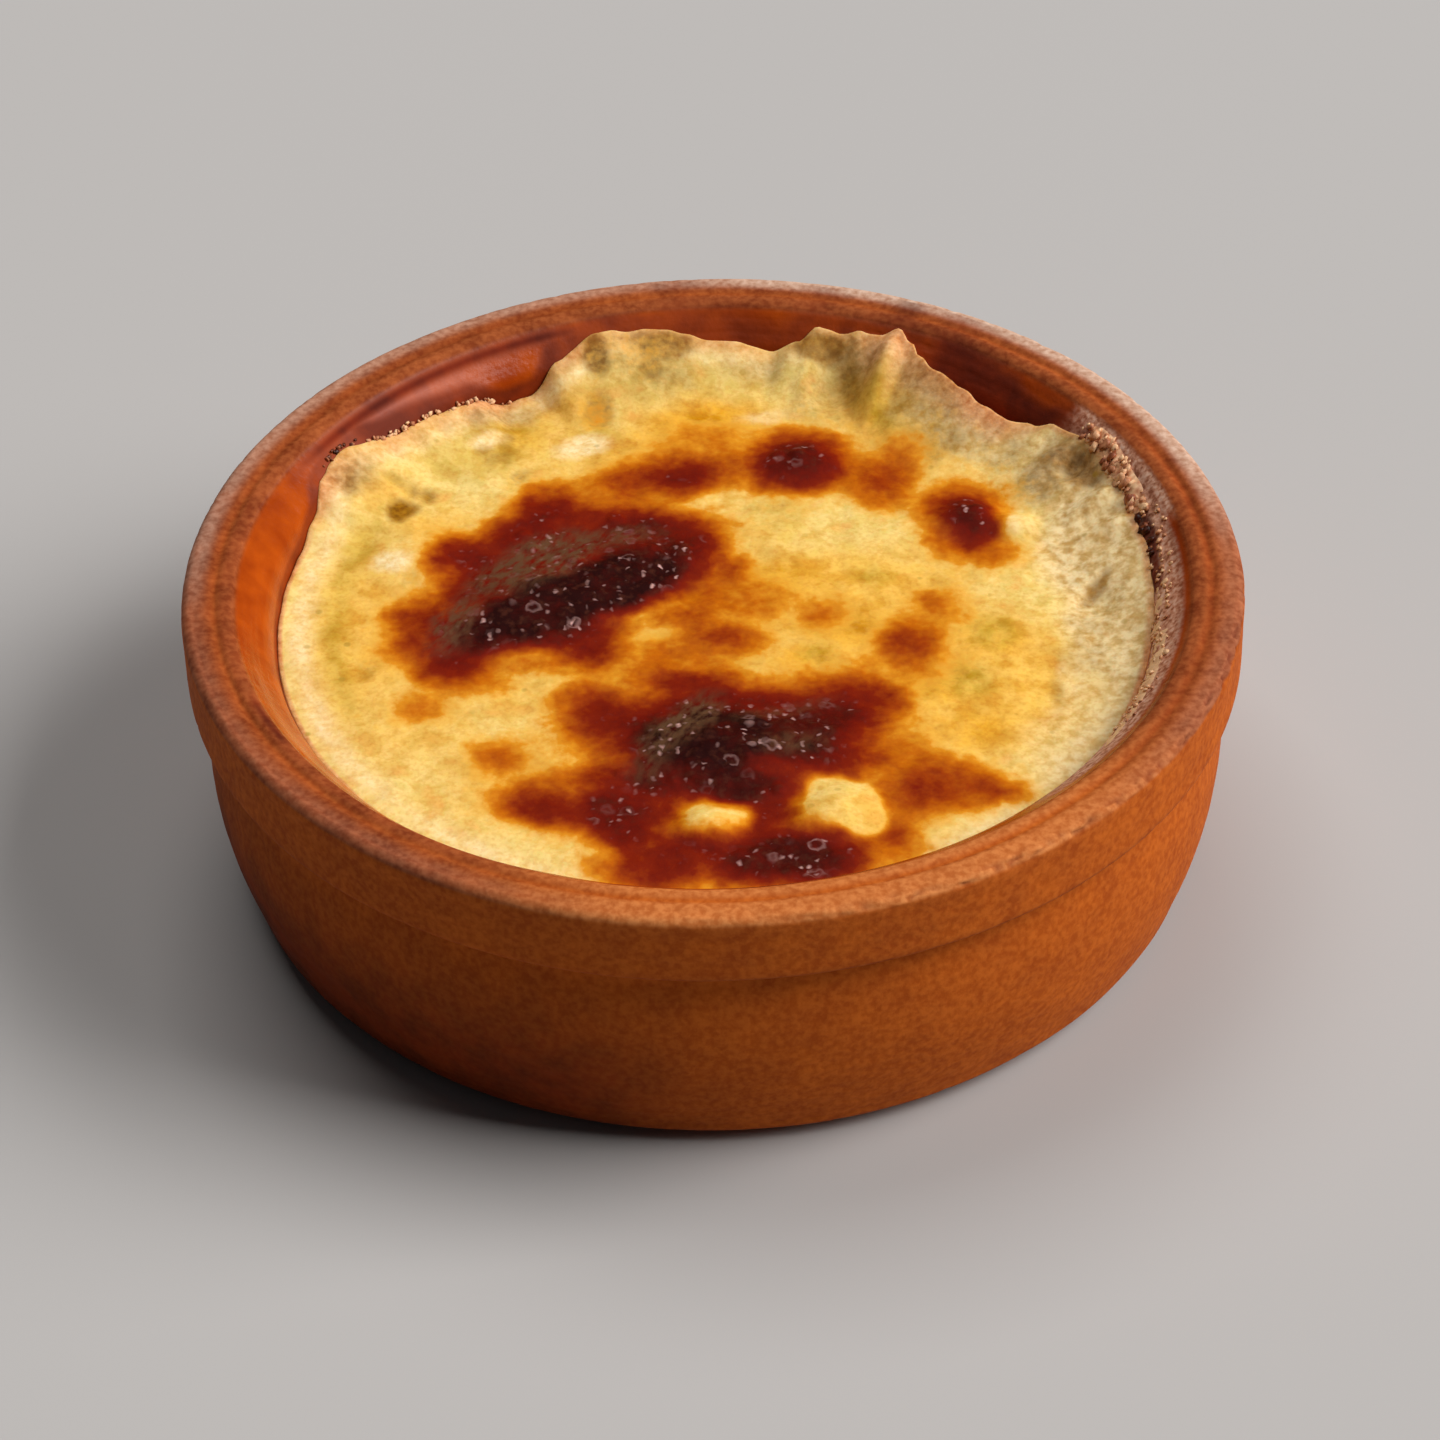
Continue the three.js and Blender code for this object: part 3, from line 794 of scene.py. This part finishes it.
def skin_looks(flat, radius, edge):
    """What the skin's colours follow: how strongly each tone shows at each place, from 0 to 1."""
    x, y = flat[..., 0], flat[..., 1]
    moved = swayed(flat)
    half_moved = (x + moved[0]) / 2, (y + moved[1]) / 2
    from_edge = radius - edge.radius
    cloudy = lumps(flat, 7.0, 3.3)

    # the scorch marks with a golden glow round each, and the pale islands that they leave
    scorch = patches(*moved, SCORCHED, 3.8, 5.2, sharpness=4)
    glow = patches(*moved, SCORCHED, 0, 9)
    islands = patches(*half_moved, PALE_ISLANDS, 1.2, 1.1)

    browned_in = EDGE_BROWNING + sum(
        more * arc_share(edge.degrees, middle, half_width, fade)
        for middle, half_width, fade, more in EDGE_BROWNING_ARCS
    )
    # painted shade in a groove round the left of the skin
    left_groove_shade = 0.6 * band(radius, FILL_RADIUS - 6.8, 1.8) * arc_share(edge.degrees, 178, 18, 14)
    # painted light: the right border, which the rim shades from the window, is made paler
    painted_light_right = 0.75 * arc_share(edge.degrees, -10, 26, 12) * smooth(from_edge, -6, -2)
    pale_ring = band(from_edge, -2.6, 1.5) * (0.6 + 0.4 * cloudy)
    return {
        "browned": np.maximum(scorch, 0.24 * glow) * (1 - islands),
        "burnt_film": patches(*moved, BURNT_FILM, 2, 2.4),
        "buttery": patches(*moved, BUTTERY, 5, 6),
        "golden": patches(*moved, GOLDEN, 3, 4),
        "painted_crease_shade": patches(*half_moved, CREASED, 0.4, 1.6),
        "dried": patches(*moved, DRIED, 3, 4),
        "soiled_and_painted_shade": patches(*moved, SOILED_AND_SHADED, 1.6, 2),
        "olive_and_painted_shade": np.maximum(patches(*moved, OLIVE, 2, 2), left_groove_shade),
        "pale_border_and_painted_light": np.maximum.reduce([pale_ring, patches(*moved, PALE_SPOTS, 1, 1.5), painted_light_right]),
        "browned_edge": smooth(from_edge, -browned_in, -0.3) * (0.75 + 0.5 * cloudy),
    }


def fine_relief(flat, looks):
    """The heights of the skin's wrinkles, dried bubbles, charred grit, curds and creases."""
    charred = smooth(looks["browned"], 0.7, 0.9)
    wrinkles = 0.22 * lumps(flat, 6.0, 12.0) + 0.1 * lumps(flat, 2.2, 14.0)
    froth = 0.3 * bubbles(flat[..., 0], flat[..., 1], charred, 2600, 0.4, 1.2, FILL_RADIUS, seed=4)
    grit = 0.1 * charred * lumps(flat, 1.1, 5.3)
    curds = 0.11 * looks["dried"] * lumps(flat, 1.3, 5.3)
    creases = -0.3 * looks["painted_crease_shade"]
    return wrinkles + froth + grit + curds + creases


def down_the_wall(edge):
    """The side of the pudding, from the edge of its skin to the floor of the dish, as radii and heights."""
    shoulder = [(0.12, -0.12), (0.2, -0.4), (0.22, -0.9)]  # how far out and up from the edge
    pocket_floor = FILL_LEVEL - 7.0
    squeezed = 0.1  # past the wall, so that no gap shows
    rows = [(edge.radius + out, edge.height + up) for out, up in shoulder]
    out, up = shoulder[-1]
    for share in (0.35, 0.7, 1.0):
        level = (edge.height + up) * (1 - share) + pocket_floor * share
        hanging = edge.radius + out - 0.6 * share
        rows.append((np.where(edge.pulled > 0.3, hanging, wall_radius(level) + squeezed), level))
    for level in (pocket_floor - 0.4, 18, 11, FLOOR_THICKNESS + 2.2, FLOOR_THICKNESS + 0.4):
        rows.append((edge.radius * 0 + wall_radius(level) + squeezed, edge.radius * 0 + level))
    return (np.hstack(column) for column in zip(*rows))


def make_pudding():
    """The pudding under its baked skin, which climbs the wall and blisters."""
    edge = skin_edge()
    share = np.arange(1, SKIN_RINGS + 1) / SKIN_RINGS
    share = share * (1.3 - 0.3 * share)  # closer together towards the edge
    radius = edge.radius * share
    flat = turned(edge.degrees, radius, 0)
    x, y = flat[..., 0], flat[..., 1]

    # the skin curves up to its edge over 7 mm, or further the higher the edge stands, and would go on
    # curving for this share of that way
    climb = 7 + 1.5 * np.maximum(edge.rise, 0)
    overrun = 0.6
    climbed = smooth(radius, edge.radius - climb, edge.radius + overrun * climb) / smooth(1, 0, 1 + overrun)
    settled = 1 - smooth(radius, edge.radius - 2.5, edge.radius)
    looks = skin_looks(flat, radius, edge)
    folds = relief(x, y) + puckers(edge.degrees, radius - edge.radius) + fine_relief(flat, looks)
    height = FILL_LEVEL + DOME * (1 - share**2) + edge.rise * climbed + folds * settled

    side_radius, side_height = down_the_wall(edge)
    top = turned(edge.degrees, radius, height)
    side = turned(edge.degrees, side_radius, side_height)
    middle = (0, 0, height[:, 0].mean())
    foot = (0, 0, FLOOR_THICKNESS + 0.2)
    pudding = turned_piece("baked_pudding", np.concatenate([top, side], axis=1), middle, foot)
    for name, values in looks.items():
        on_side = np.repeat(values[:, -1:], side_radius.shape[1], axis=1)
        store(pudding, name, [values[0, 0], *np.hstack([values, on_side]).ravel(), 0])
    return pudding


# ------------------------------------------------------------------ what has dried on the wall

# Crusts of boiled-over milk up the wall: first and last angle, lowest and highest point over the edge
# of the skin, thickness, and how dark from 0 to 1, where less than 0 leaves only the thinnest spots dark.
CRUSTS = [
    # the first crust, at the right, is made paler as painted light on a face turned away from the window
    (-35, 2, 0.1, 1.8, 0.26, -0.15),
    (14, 32, -0.4, 1.5, 0.55, 0.2),
]

# Crumbs of dried milk: first and last angle, how many, smallest and largest size, how far in from
# the wall, how far above the edge of the skin, how dark, and how much longer they are up the wall.
CRUMBS = [
    (-30, 14, 90, 0.15, 0.3, 0.3, 2.6, 0.1, 1.3),
    (6, 15, 16, 0.25, 0.5, 0.3, 0.8, 0.85, 1.3),
    (16, 32, 30, 0.2, 0.6, 0.8, 1.4, 0.35, 1.4),
    (13, 34, 40, 0.15, 0.45, 0.8, 2.0, 0.1, 1.6),
    (119, 143, 50, 0.15, 0.35, 0.3, 0.5, 0.15, 1.0),
    (144, 151, 16, 0.15, 0.32, 0.2, 0.5, 0.75, 1.0),
]


def up_the_wall(degrees, height):
    """Unit steps round the wall, up it and off it, at an angle and height."""
    outwards = turned(degrees, 1, 0)
    around = turned(degrees + 90, 1, 0)
    up = outwards * (wall_radius(height + 0.5) - wall_radius(height - 0.5)) + [0, 0, 1]
    up /= np.linalg.norm(up)
    return np.array([around, up, np.cross(around, up)])


def crust(first, last, low, high, thickness, dark, seed):
    """A ragged sheet of dried milk on the wall, as the corners, faces and darkness of a closed patch."""
    per_degree, per_mm_up = 5, 5
    across = max(8, round((last - first) * per_degree))
    up = round((high - low) * per_mm_up)
    share_across, share_up = np.meshgrid(np.linspace(0, 1, across), np.linspace(0, 1, up), indexing="ij")
    degrees = first + (last - first) * share_across
    height = FILL_LEVEL + round_the_edge(degrees, 1) + low + (high - low) * share_up

    # thick in the middle, and sunk into the clay at its borders, where it ends in a ragged line
    fade = np.clip(6 * share_across * (1 - share_across), 0, 1) * np.clip(5 * (1 - share_up), 0, 1)
    unrolled = np.stack([np.radians(degrees) * FILL_RADIUS, height, 0 * height], -1)
    bumps = lumps(unrolled, 0.7, seed) + 0.8 * lumps(unrolled, 2.2, seed + 3)
    sunk_border, sunk_back = 0.15, 0.5
    thick = thickness * (0.7 + bumps) * fade - sunk_border
    front = turned(degrees, wall_radius(height) - thick, height).reshape(-1, 3)
    back = turned(degrees, wall_radius(height) + sunk_back, height).reshape(-1, 3)

    here = (np.arange(across - 1)[:, None] * up + np.arange(up - 1)).ravel()
    behind = across * up
    faces = [(i, i + up, i + up + 1, i + 1) for i in here]
    faces += [(behind + i, behind + i + 1, behind + i + up + 1, behind + i + up) for i in here]
    border = [i * up for i in range(across)] + [(across - 1) * up + j for j in range(1, up)]
    border += [i * up + up - 1 for i in range(across - 2, -1, -1)] + list(range(up - 2, 0, -1))
    faces += [(b, a, behind + a, behind + b) for a, b in zip(border, border[1:] + border[:1])]
    darkness = np.clip(dark - 0.4 * bumps, 0, 1).ravel()
    return np.vstack([front, back]), faces, [*darkness, *darkness]


def crumb(middle, size, stretch, axes, draw):
    """One lumpy crumb, as the corners and faces of a small closed ball stretched along the axes."""
    around, rings = 7, 4
    turn = np.arange(around) * 360 / around
    corners = [(0, 0, -1)]
    for ring in range(1, rings + 1):
        up = math.pi * ring / (rings + 1)
        corners.extend(turned(turn, math.sin(up), -math.cos(up)))
    corners.append((0, 0, 1))
    uneven = np.array([[draw.uniform(0.5, 1.5)] for _ in corners])
    placed = middle + size * (np.array(corners) * uneven * stretch) @ axes
    faces = []
    top = 1 + (rings - 1) * around
    for step in range(around):
        beside = (step + 1) % around
        faces.append((0, 1 + beside, 1 + step))
        for low in range(1, top, around):
            high = low + around
            faces.append((low + step, low + beside, high + beside, high + step))
        faces.append((top + step, top + beside, len(corners) - 1))
    return placed, faces


def make_residue():
    """Boiled-over milk that has dried and caramelised on the wall and along the edge of the skin."""
    draw = random.Random(21)
    clear_of_rim = 0.8
    dried = [crust(*listed, seed=4.4 + 5 * number) for number, listed in enumerate(CRUSTS)]
    for first, last, count, smallest, largest, reach, above, dark, longer in CRUMBS:
        for _ in range(count):
            degrees = draw.uniform(first, last)
            size = draw.uniform(smallest, largest)
            height = FILL_LEVEL + round_the_edge(degrees, 1) + draw.uniform(0, above)
            height = min(height, DISH_HEIGHT - clear_of_rim - size * longer)
            inwards = round_the_edge(degrees, 2) + draw.uniform(0, reach)
            middle = turned(degrees, wall_radius(height) - inwards, height)
            stretch = (draw.uniform(0.7, 1.5), longer * draw.uniform(0.7, 1.3), draw.uniform(0.4, 0.8))
            ball, faces = crumb(middle, size, stretch, up_the_wall(degrees, height), draw)
            darkness = min(1, max(0, dark + draw.uniform(-0.3, 0.3)))
            dried.append((ball, faces, [darkness] * len(ball)))

    corners, all_faces, all_darkness = [], [], []
    for placed, faces, darkness in dried:
        all_faces += [tuple(len(corners) + int(corner) for corner in face) for face in faces]
        all_darkness += darkness
        corners.extend(placed)
    residue = new_piece("dried_milk_residue", corners, all_faces)
    store(residue, "darkness", all_darkness)
    return residue


# ------------------------------------------------------------------ materials


def terracotta():
    """Low-fired red clay, thrown on a wheel. Bare it is matt and mottled by sand and fire. A thin clear
    glaze makes the inside darker and softly shiny, and hands and ovens have rubbed the rim or blackened it
    with smoke. Painted light pales the rim's front and outer corner and lays a pinkish reflection on its
    back; painted shade darkens the rest of its top, its grooves, the gap behind the skin, the collar's
    underside and the body low at the front left."""
    material, tree = new_material("wheel_thrown_terracotta")
    place = add(tree, "TexCoord").outputs["Object"]

    # how wide each pattern is in millimetres, and its detail: clouds from the fire, then sand and
    # dried curds, which are really half as wide or less, but would not show
    sizes = {"mottle": (5, 3), "sand": (0.9, 3), "curds": (0.7, 2)}
    patterns = {
        name: add(tree, "TexNoise", {"Vector": place, "Scale": PER_MM / size, "Detail": detail}).outputs[0]
        for name, (size, detail) in sizes.items()
    }
    tones = {
        "fired": ("mottle", (0.36, "#ac4c08"), (0.64, "#c05a0c")),
        "sandy": ("sand", (0.36, "#943c06"), (0.64, "#cc6c24")),
        "glazed": ("mottle", (0.36, "#983806"), (0.64, "#b24a0a")),
        # darker tones for the rim away from the front: soot, and painted shade
        "soot_and_painted_shade": ("mottle", (0.36, "#6e2a0a"), (0.64, "#a4542a")),
        "sooty_sand_and_painted_shade": ("sand", (0.36, "#662408"), (0.64, "#a25830")),
        # paler tones for the rim's front: wear, and painted light
        "worn_and_painted_light": ("sand", (0.36, "#b8642c"), (0.64, "#d48246")),
        # pinkish grey: dust, and a painted reflection
        "dusty_and_painted_reflection": ("sand", (0.3, "#b48468"), (0.7, "#dcb8a0")),
        # dried milk, and painted light on the shaded right ledge
        "crust_and_painted_light": ("curds", (0.34, "#a0684c"), (0.66, "#f8ccb0"), (0.5, "#dca080")),
        # dark stains, and painted shade
        "stained_and_painted_shade": ("mottle", (0.36, "#4e1002"), (0.64, "#741e02")),
    }
    tones = {
        name: add(tree, "ValToRGB", {"Fac": patterns[pattern]}, stops=stops).outputs[0]
        for name, (pattern, *stops) in tones.items()
    }
    tones["smoked_and_painted_shade"] = add(tree, "Mix", {0: 0.5, 6: tones["soot_and_painted_shade"], 7: tones["sooty_sand_and_painted_shade"]},
                          data_type="RGBA").outputs[2]

    shown = add(tree, "Mix", {0: 0.4, 6: tones["fired"], 7: tones["sandy"]}, data_type="RGBA").outputs[2]
    shares = {}
    for name in ("glazed", "smoked_and_painted_shade", "worn_and_painted_light", "dusty_and_painted_reflection", "crust_and_painted_light", "stained_and_painted_shade"):
        shares[name] = add(tree, "Attribute", attribute_name=name).outputs["Fac"]
        shown = add(tree, "Mix", {0: shares[name], 6: shown, 7: tones[name]}, data_type="RGBA").outputs[2]

    # only clean glaze shines
    clean = shares["glazed"]
    for name in ("stained_and_painted_shade", "crust_and_painted_light"):
        cleaned = add(tree, "Math", {0: clean, 1: shares[name]}, operation="SUBTRACT", use_clamp=True)
        clean = cleaned.outputs[0]
    roughness = add(tree, "MapRange", {"Value": clean, "To Min": 0.8, "To Max": 0.24}).outputs[0]
    bump = add(tree, "Bump", {"Height": patterns["sand"], "Strength": 0.3, "Distance": 0.2 * MM})
    clay = add(tree, "BsdfPrincipled", {
        "Base Color": shown,
        "Roughness": roughness,
        "IOR": 1.5,
        "Specular IOR Level": 0.14,
        "Normal": bump.outputs[0],
    })
    add(tree, "OutputMaterial", {"Surface": clay.outputs[0]})
    return material


def untoasted_layers(tree, place, patterns):
    """What has settled or dried on the pale skin, and shade and light painted on it, as (share, tone,
    blending) in turn.
    """
    # the greenish, smudged and crease tones also paint shade, and the pale border tone paints light
    tones = {
        "buttery": ("clouds", (0.36, "#dc9818"), (0.62, "#f8c04c")),
        "golden": ("clouds", (0.36, "#c88404"), (0.62, "#eca81c")),
        "olive_and_painted_shade": ("clouds", (0.36, "#a88414"), (0.62, "#d8b048")),
        "pale_border_and_painted_light": ("grain", (0.35, "#f6d490"), (0.65, "#ffe8b4")),
        "dried": ("curds", (0.34, "#d6b272"), (0.62, "#f8dca4")),
        "browned_edge": ("grain", (0.35, "#cc8450"), (0.65, "#f2b27c")),
        "soiled_and_painted_shade": ("grain", (0.35, "#6c4418"), (0.65, "#b0844c")),
        "painted_crease_shade": ("grain", (0.35, "#7c4c08"), (0.65, "#a87414")),
    }
    layers = []
    for name, (pattern, *stops) in tones.items():
        share = add(tree, "Attribute", attribute_name=name).outputs["Fac"]
        tone = add(tree, "ValToRGB", {"Fac": patterns[pattern]}, stops=stops).outputs[0]
        layers.append((share, tone, "MIX"))
    for pattern, pale in (("curds", "#e4c888"), ("specks", "#ecc890")):
        freckles = add(tree, "ValToRGB", {"Fac": patterns[pattern]}, stops=[(0.36, pale), (0.52, "#ffffff")])
        layers.append((0.3, freckles.outputs[0], "MULTIPLY"))

    # pores about a millimetre across, in some of the cells of a pattern 3.4 mm wide
    cells = add(tree, "TexVoronoi", {"Vector": place, "Scale": PER_MM / 3.4})
    pore = add(tree, "MapRange", {"Value": cells.outputs["Distance"], "From Min": 0.17, "From Max": 0.09})
    drawn = add(tree, "SeparateColor", {"Color": cells.outputs["Color"]}).outputs[1]
    few = add(tree, "MapRange", {"Value": drawn, "From Min": 0.6, "From Max": 1.0, "To Max": 0.7})
    share = add(tree, "Math", {0: pore.outputs[0], 1: few.outputs[0]}, operation="MULTIPLY").outputs[0]
    layers.append((share, colour("#a8842c"), "MIX"))
    return layers


def toasted_layers(tree, place, patterns, toast):
    """What the top element has toasted, filmed over and charred, with painted highlights, as (share, tone,
    blending) in turn.
    """
    tones = add(tree, "ValToRGB", {"Fac": toast}, stops=[
        (0.0, "#f2cc7c"), (1.0, "#260402"), (0.12, "#f0b448"), (0.24, "#da8c1c"), (0.36, "#c06404"),
        (0.5, "#9c3c02"), (0.62, "#7c1c02"), (0.74, "#6a1002"), (0.87, "#4a0a02"),
    ])
    toasted = add(tree, "MapRange", {"Value": toast, "From Min": 0.06, "From Max": 0.24}).outputs[0]

    # burnt film in strands about a millimetre wide and twice as long, that run at 62 degrees
    lengthwise = {"Vector": place, "Rotation": (0, 0, math.radians(62)), "Scale": (2, 1, 1)}
    stretched = add(tree, "Mapping", lengthwise, vector_type="TEXTURE").outputs[0]
    strands = add(tree, "TexNoise", {"Vector": stretched, "Scale": PER_MM / 0.9, "Detail": 3})
    thin = add(tree, "MapRange", {"Value": strands.outputs["Fac"], "From Min": 0.32, "From Max": 0.6})
    film = add(tree, "Attribute", attribute_name="burnt_film").outputs["Fac"]

    # charred skin, with patches where it is a dull red
    charred = add(tree, "MapRange", {"Value": toast, "From Min": 0.68, "From Max": 0.9}).outputs[0]
    red = {"Value": patterns["grain"], "From Min": 0.5, "From Max": 0.72, "To Max": 0.22}
    dull = add(tree, "MapRange", red)
    filmed = add(tree, "Math", {0: film, 1: thin.outputs[0]}, operation="MULTIPLY").outputs[0]
    dulled = add(tree, "Math", {0: charred, 1: dull.outputs[0]}, operation="MULTIPLY").outputs[0]
    layers = [
        (toasted, tones.outputs[0], "MIX"),
        (filmed, colour("#60422a"), "MIX"),
        (dulled, colour("#743c28"), "MIX"),
    ]

    # painted highlights of dried bubbles that glint on it: their size in millimetres, and as shares of it
    # where each begins and is full, and where its open middle is clear and ends; then its strength. The
    # small ones have no open middle, and the large ones have burst. Real ones are half as wide, too fine to
    # show.
    warp = add(tree, "TexNoise", {"Vector": place, "Scale": PER_MM / 1.3, "Detail": 1}).outputs["Color"]
    warp = add(tree, "VectorMath", {0: warp, 1: (MM, 2 * MM, 0)}, operation="MULTIPLY").outputs[0]
    uneven = add(tree, "VectorMath", {0: place, 1: warp}, operation="ADD").outputs[0]
    for size, outside, middle, strength in (
        (1.0, (0.42, 0.05), (-1, 0), 1.0),
        (2.4, (0.48, 0.34), (0.2, 0.36), 0.3),
    ):
        cells = add(tree, "TexVoronoi", {"Vector": uneven, "Scale": PER_MM / size}).outputs
        drawn = add(tree, "SeparateColor", {"Color": cells["Color"]}).outputs[0]
        glints = charred
        for value, (start, end), most in (
            (cells["Distance"], outside, 1),
            (cells["Distance"], middle, 1),
            (drawn, (0.66, 1), strength),
        ):
            part = add(tree, "MapRange", {"Value": value, "From Min": start, "From Max": end, "To Max": most})
            glints = add(tree, "Math", {0: glints, 1: part.outputs[0]}, operation="MULTIPLY").outputs[0]
        layers.append((glints, colour("#d4a49c"), "MIX"))
    return layers


def baked_milk_skin():
    """The skin of baked milk and rice, dried in the oven: satin, a little translucent, cream-coloured, and
    toasted under the top element through orange and dark red to black, where it is drier and duller."""
    material, tree = new_material("baked_milk_skin")
    place = add(tree, "TexCoord").outputs["Object"]

    # how wide each pattern is in millimetres, and its detail. The specks and the grain are really
    # about a quarter of a millimetre, too fine to show.
    sizes = {"clouds": (4, 4), "curds": (1.4, 2), "specks": (0.6, 1), "grain": (1.1, 3)}
    patterns = {
        name: add(tree, "TexNoise", {"Vector": place, "Scale": PER_MM / size, "Detail": detail}).outputs[0]
        for name, (size, detail) in sizes.items()
    }

    # how far it is toasted, blotchy and with a ragged border
    toast = add(tree, "Attribute", attribute_name="browned").outputs["Fac"]
    for pattern, most in (("grain", 0.1), ("clouds", 0.14)):
        unevenness = add(tree, "MapRange", {"Value": patterns[pattern], "To Min": -most, "To Max": most})
        toast = add(tree, "Math", {0: toast, 1: unevenness.outputs[0]}, operation="ADD").outputs[0]

    shown = add(tree, "ValToRGB", {"Fac": patterns["clouds"]}, stops=[
        (0.3, "#f0bc66"), (1.0, "#f4c27c"), (0.44, "#e8c66c"), (0.54, "#f4d482"), (0.66, "#e4c870"),
    ]).outputs[0]
    layers = untoasted_layers(tree, place, patterns) + toasted_layers(tree, place, patterns, toast)
    for share, tone, blending in layers:
        shown = add(tree, "Mix", {0: share, 6: shown, 7: tone},
                    data_type="RGBA", blend_type=blending).outputs[2]
    roughness = add(tree, "MapRange", {"Value": toast, "To Min": 0.42, "To Max": 0.65}).outputs[0]
    bump = add(tree, "Bump", {"Height": patterns["grain"], "Strength": 0.3, "Distance": 0.3 * MM})
    skin = add(tree, "BsdfPrincipled", {
        "Base Color": shown,
        "Roughness": roughness,
        "IOR": 1.4,
        "Specular IOR Level": 0.07,
        "Subsurface Weight": 0.15,
        "Subsurface Radius": (1.0, 0.5, 0.2),
        "Subsurface Scale": 2 * MM,
        "Normal": bump.outputs[0],
    })
    add(tree, "OutputMaterial", {"Surface": skin.outputs[0]})
    return material


def caramelised_milk():
    """Milk that boiled over and dried on hot clay: its sugar gives a slight shine, and browns it from
    pinkish tan to dark brown."""
    material, tree = new_material("caramelised_milk")
    place = add(tree, "TexCoord").outputs["Object"]
    grain_width = 0.8  # about twice the real one, which would not show
    grain = add(tree, "TexNoise", {"Vector": place, "Scale": PER_MM / grain_width, "Detail": 2}).outputs[0]
    uneven = add(tree, "MapRange", {"Value": grain, "To Min": -0.35, "To Max": 0.35}).outputs[0]
    darkness = add(tree, "Attribute", attribute_name="darkness").outputs["Fac"]
    depth = add(tree, "Math", {0: darkness, 1: uneven}, operation="ADD").outputs[0]
    tones = add(tree, "ValToRGB", {"Fac": depth}, stops=[
        (0.0, "#f0c090"), (1.0, "#3a1406"), (0.3, "#cc8a60"), (0.55, "#9a5434"), (0.8, "#642808"),
    ])
    bump = add(tree, "Bump", {"Height": grain, "Strength": 0.4, "Distance": 0.2 * MM})
    residue = add(tree, "BsdfPrincipled", {
        "Base Color": tones.outputs[0],
        "Roughness": 0.4,
        "IOR": 1.45,
        "Specular IOR Level": 0.35,
        "Normal": bump.outputs[0],
    })
    add(tree, "OutputMaterial", {"Surface": residue.outputs[0]})
    return material


def pale_floor():
    """A plain matt pale grey studio floor."""
    material, tree = new_material("pale_matt_floor")
    floor = add(tree, "BsdfPrincipled", {"Base Color": colour("#b4b0ad"), "Roughness": 0.9})
    add(tree, "OutputMaterial", {"Surface": floor.outputs[0]})
    return material


# ------------------------------------------------------------------ studio


def add_floor():
    """The floor under the dish, which isn't part of it."""
    half = 3.0
    mesh = bpy.data.meshes.new("floor")
    corners = [(-half, -half, 0), (half, -half, 0), (half, half, 0), (-half, half, 0)]
    mesh.from_pydata(corners, [], [(0, 1, 2, 3)])
    mesh.materials.append(pale_floor())
    floor = bpy.data.objects.new("floor", mesh)
    bpy.context.scene.collection.objects.link(floor)


def add_light(name, azimuth, elevation, distance, size, power):
    """A soft square lamp that faces the dish from an angle round it and a height above it."""
    data = bpy.data.lights.new(name, "AREA")
    data.size = size
    data.energy = power
    lamp = bpy.data.objects.new(name, data)
    around, up = math.radians(azimuth), math.radians(elevation)
    towards = Vector((math.cos(around) * math.cos(up), math.sin(around) * math.cos(up), math.sin(up)))
    lamp.location = towards * distance
    lamp.rotation_euler = towards.to_track_quat("Z", "Y").to_euler()
    bpy.context.scene.collection.objects.link(lamp)


def add_studio():
    """Soft light from a window at the right, a wide soft ceiling light, and the floor."""
    add_floor()
    add_light("window_light", azimuth=-2, elevation=40, distance=12.0, size=7.8, power=1850)
    add_light("ceiling_light", azimuth=110, elevation=66, distance=12.0, size=7.2, power=600)
    world = bpy.data.worlds.new("room")
    world.use_nodes = True
    background = world.node_tree.nodes["Background"]
    background.inputs["Color"].default_value = colour("#e6ecf2")
    background.inputs["Strength"].default_value = 0.04
    bpy.context.scene.world = world
    bpy.context.scene.view_settings.view_transform = "Standard"


def add_camera():
    """A long lens from the front, looking down on the pudding."""
    distance = 0.6
    elevation = math.radians(38.75)
    roll = math.radians(-1.3)
    lens_to_sensor = 3.308
    centre = Vector((0, 0, (cad_low.z + cad_high.z) / 2))
    back = Vector((0, -math.cos(elevation), math.sin(elevation)))
    data = bpy.data.cameras.new("camera")
    data.lens = lens_to_sensor * data.sensor_width
    data.shift_x = 0.0034
    data.shift_y = -0.0163
    camera = bpy.data.objects.new("camera", data)
    camera.location = centre + back * distance
    camera.rotation_mode = "QUATERNION"
    camera.rotation_quaternion = back.to_track_quat("Z", "Y") @ Quaternion((0, 0, 1), roll)
    bpy.context.scene.collection.objects.link(camera)
    bpy.context.scene.camera = camera


add_camera()

dish = make_dish()
dish.data.materials.append(terracotta())
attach(dish, "root")
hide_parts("dish")

pudding = make_pudding()
pudding.data.materials.append(baked_milk_skin())
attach(pudding, "root")
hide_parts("pudding")

residue = make_residue()
residue.data.materials.append(caramelised_milk())
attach(residue, "root")

add_studio()
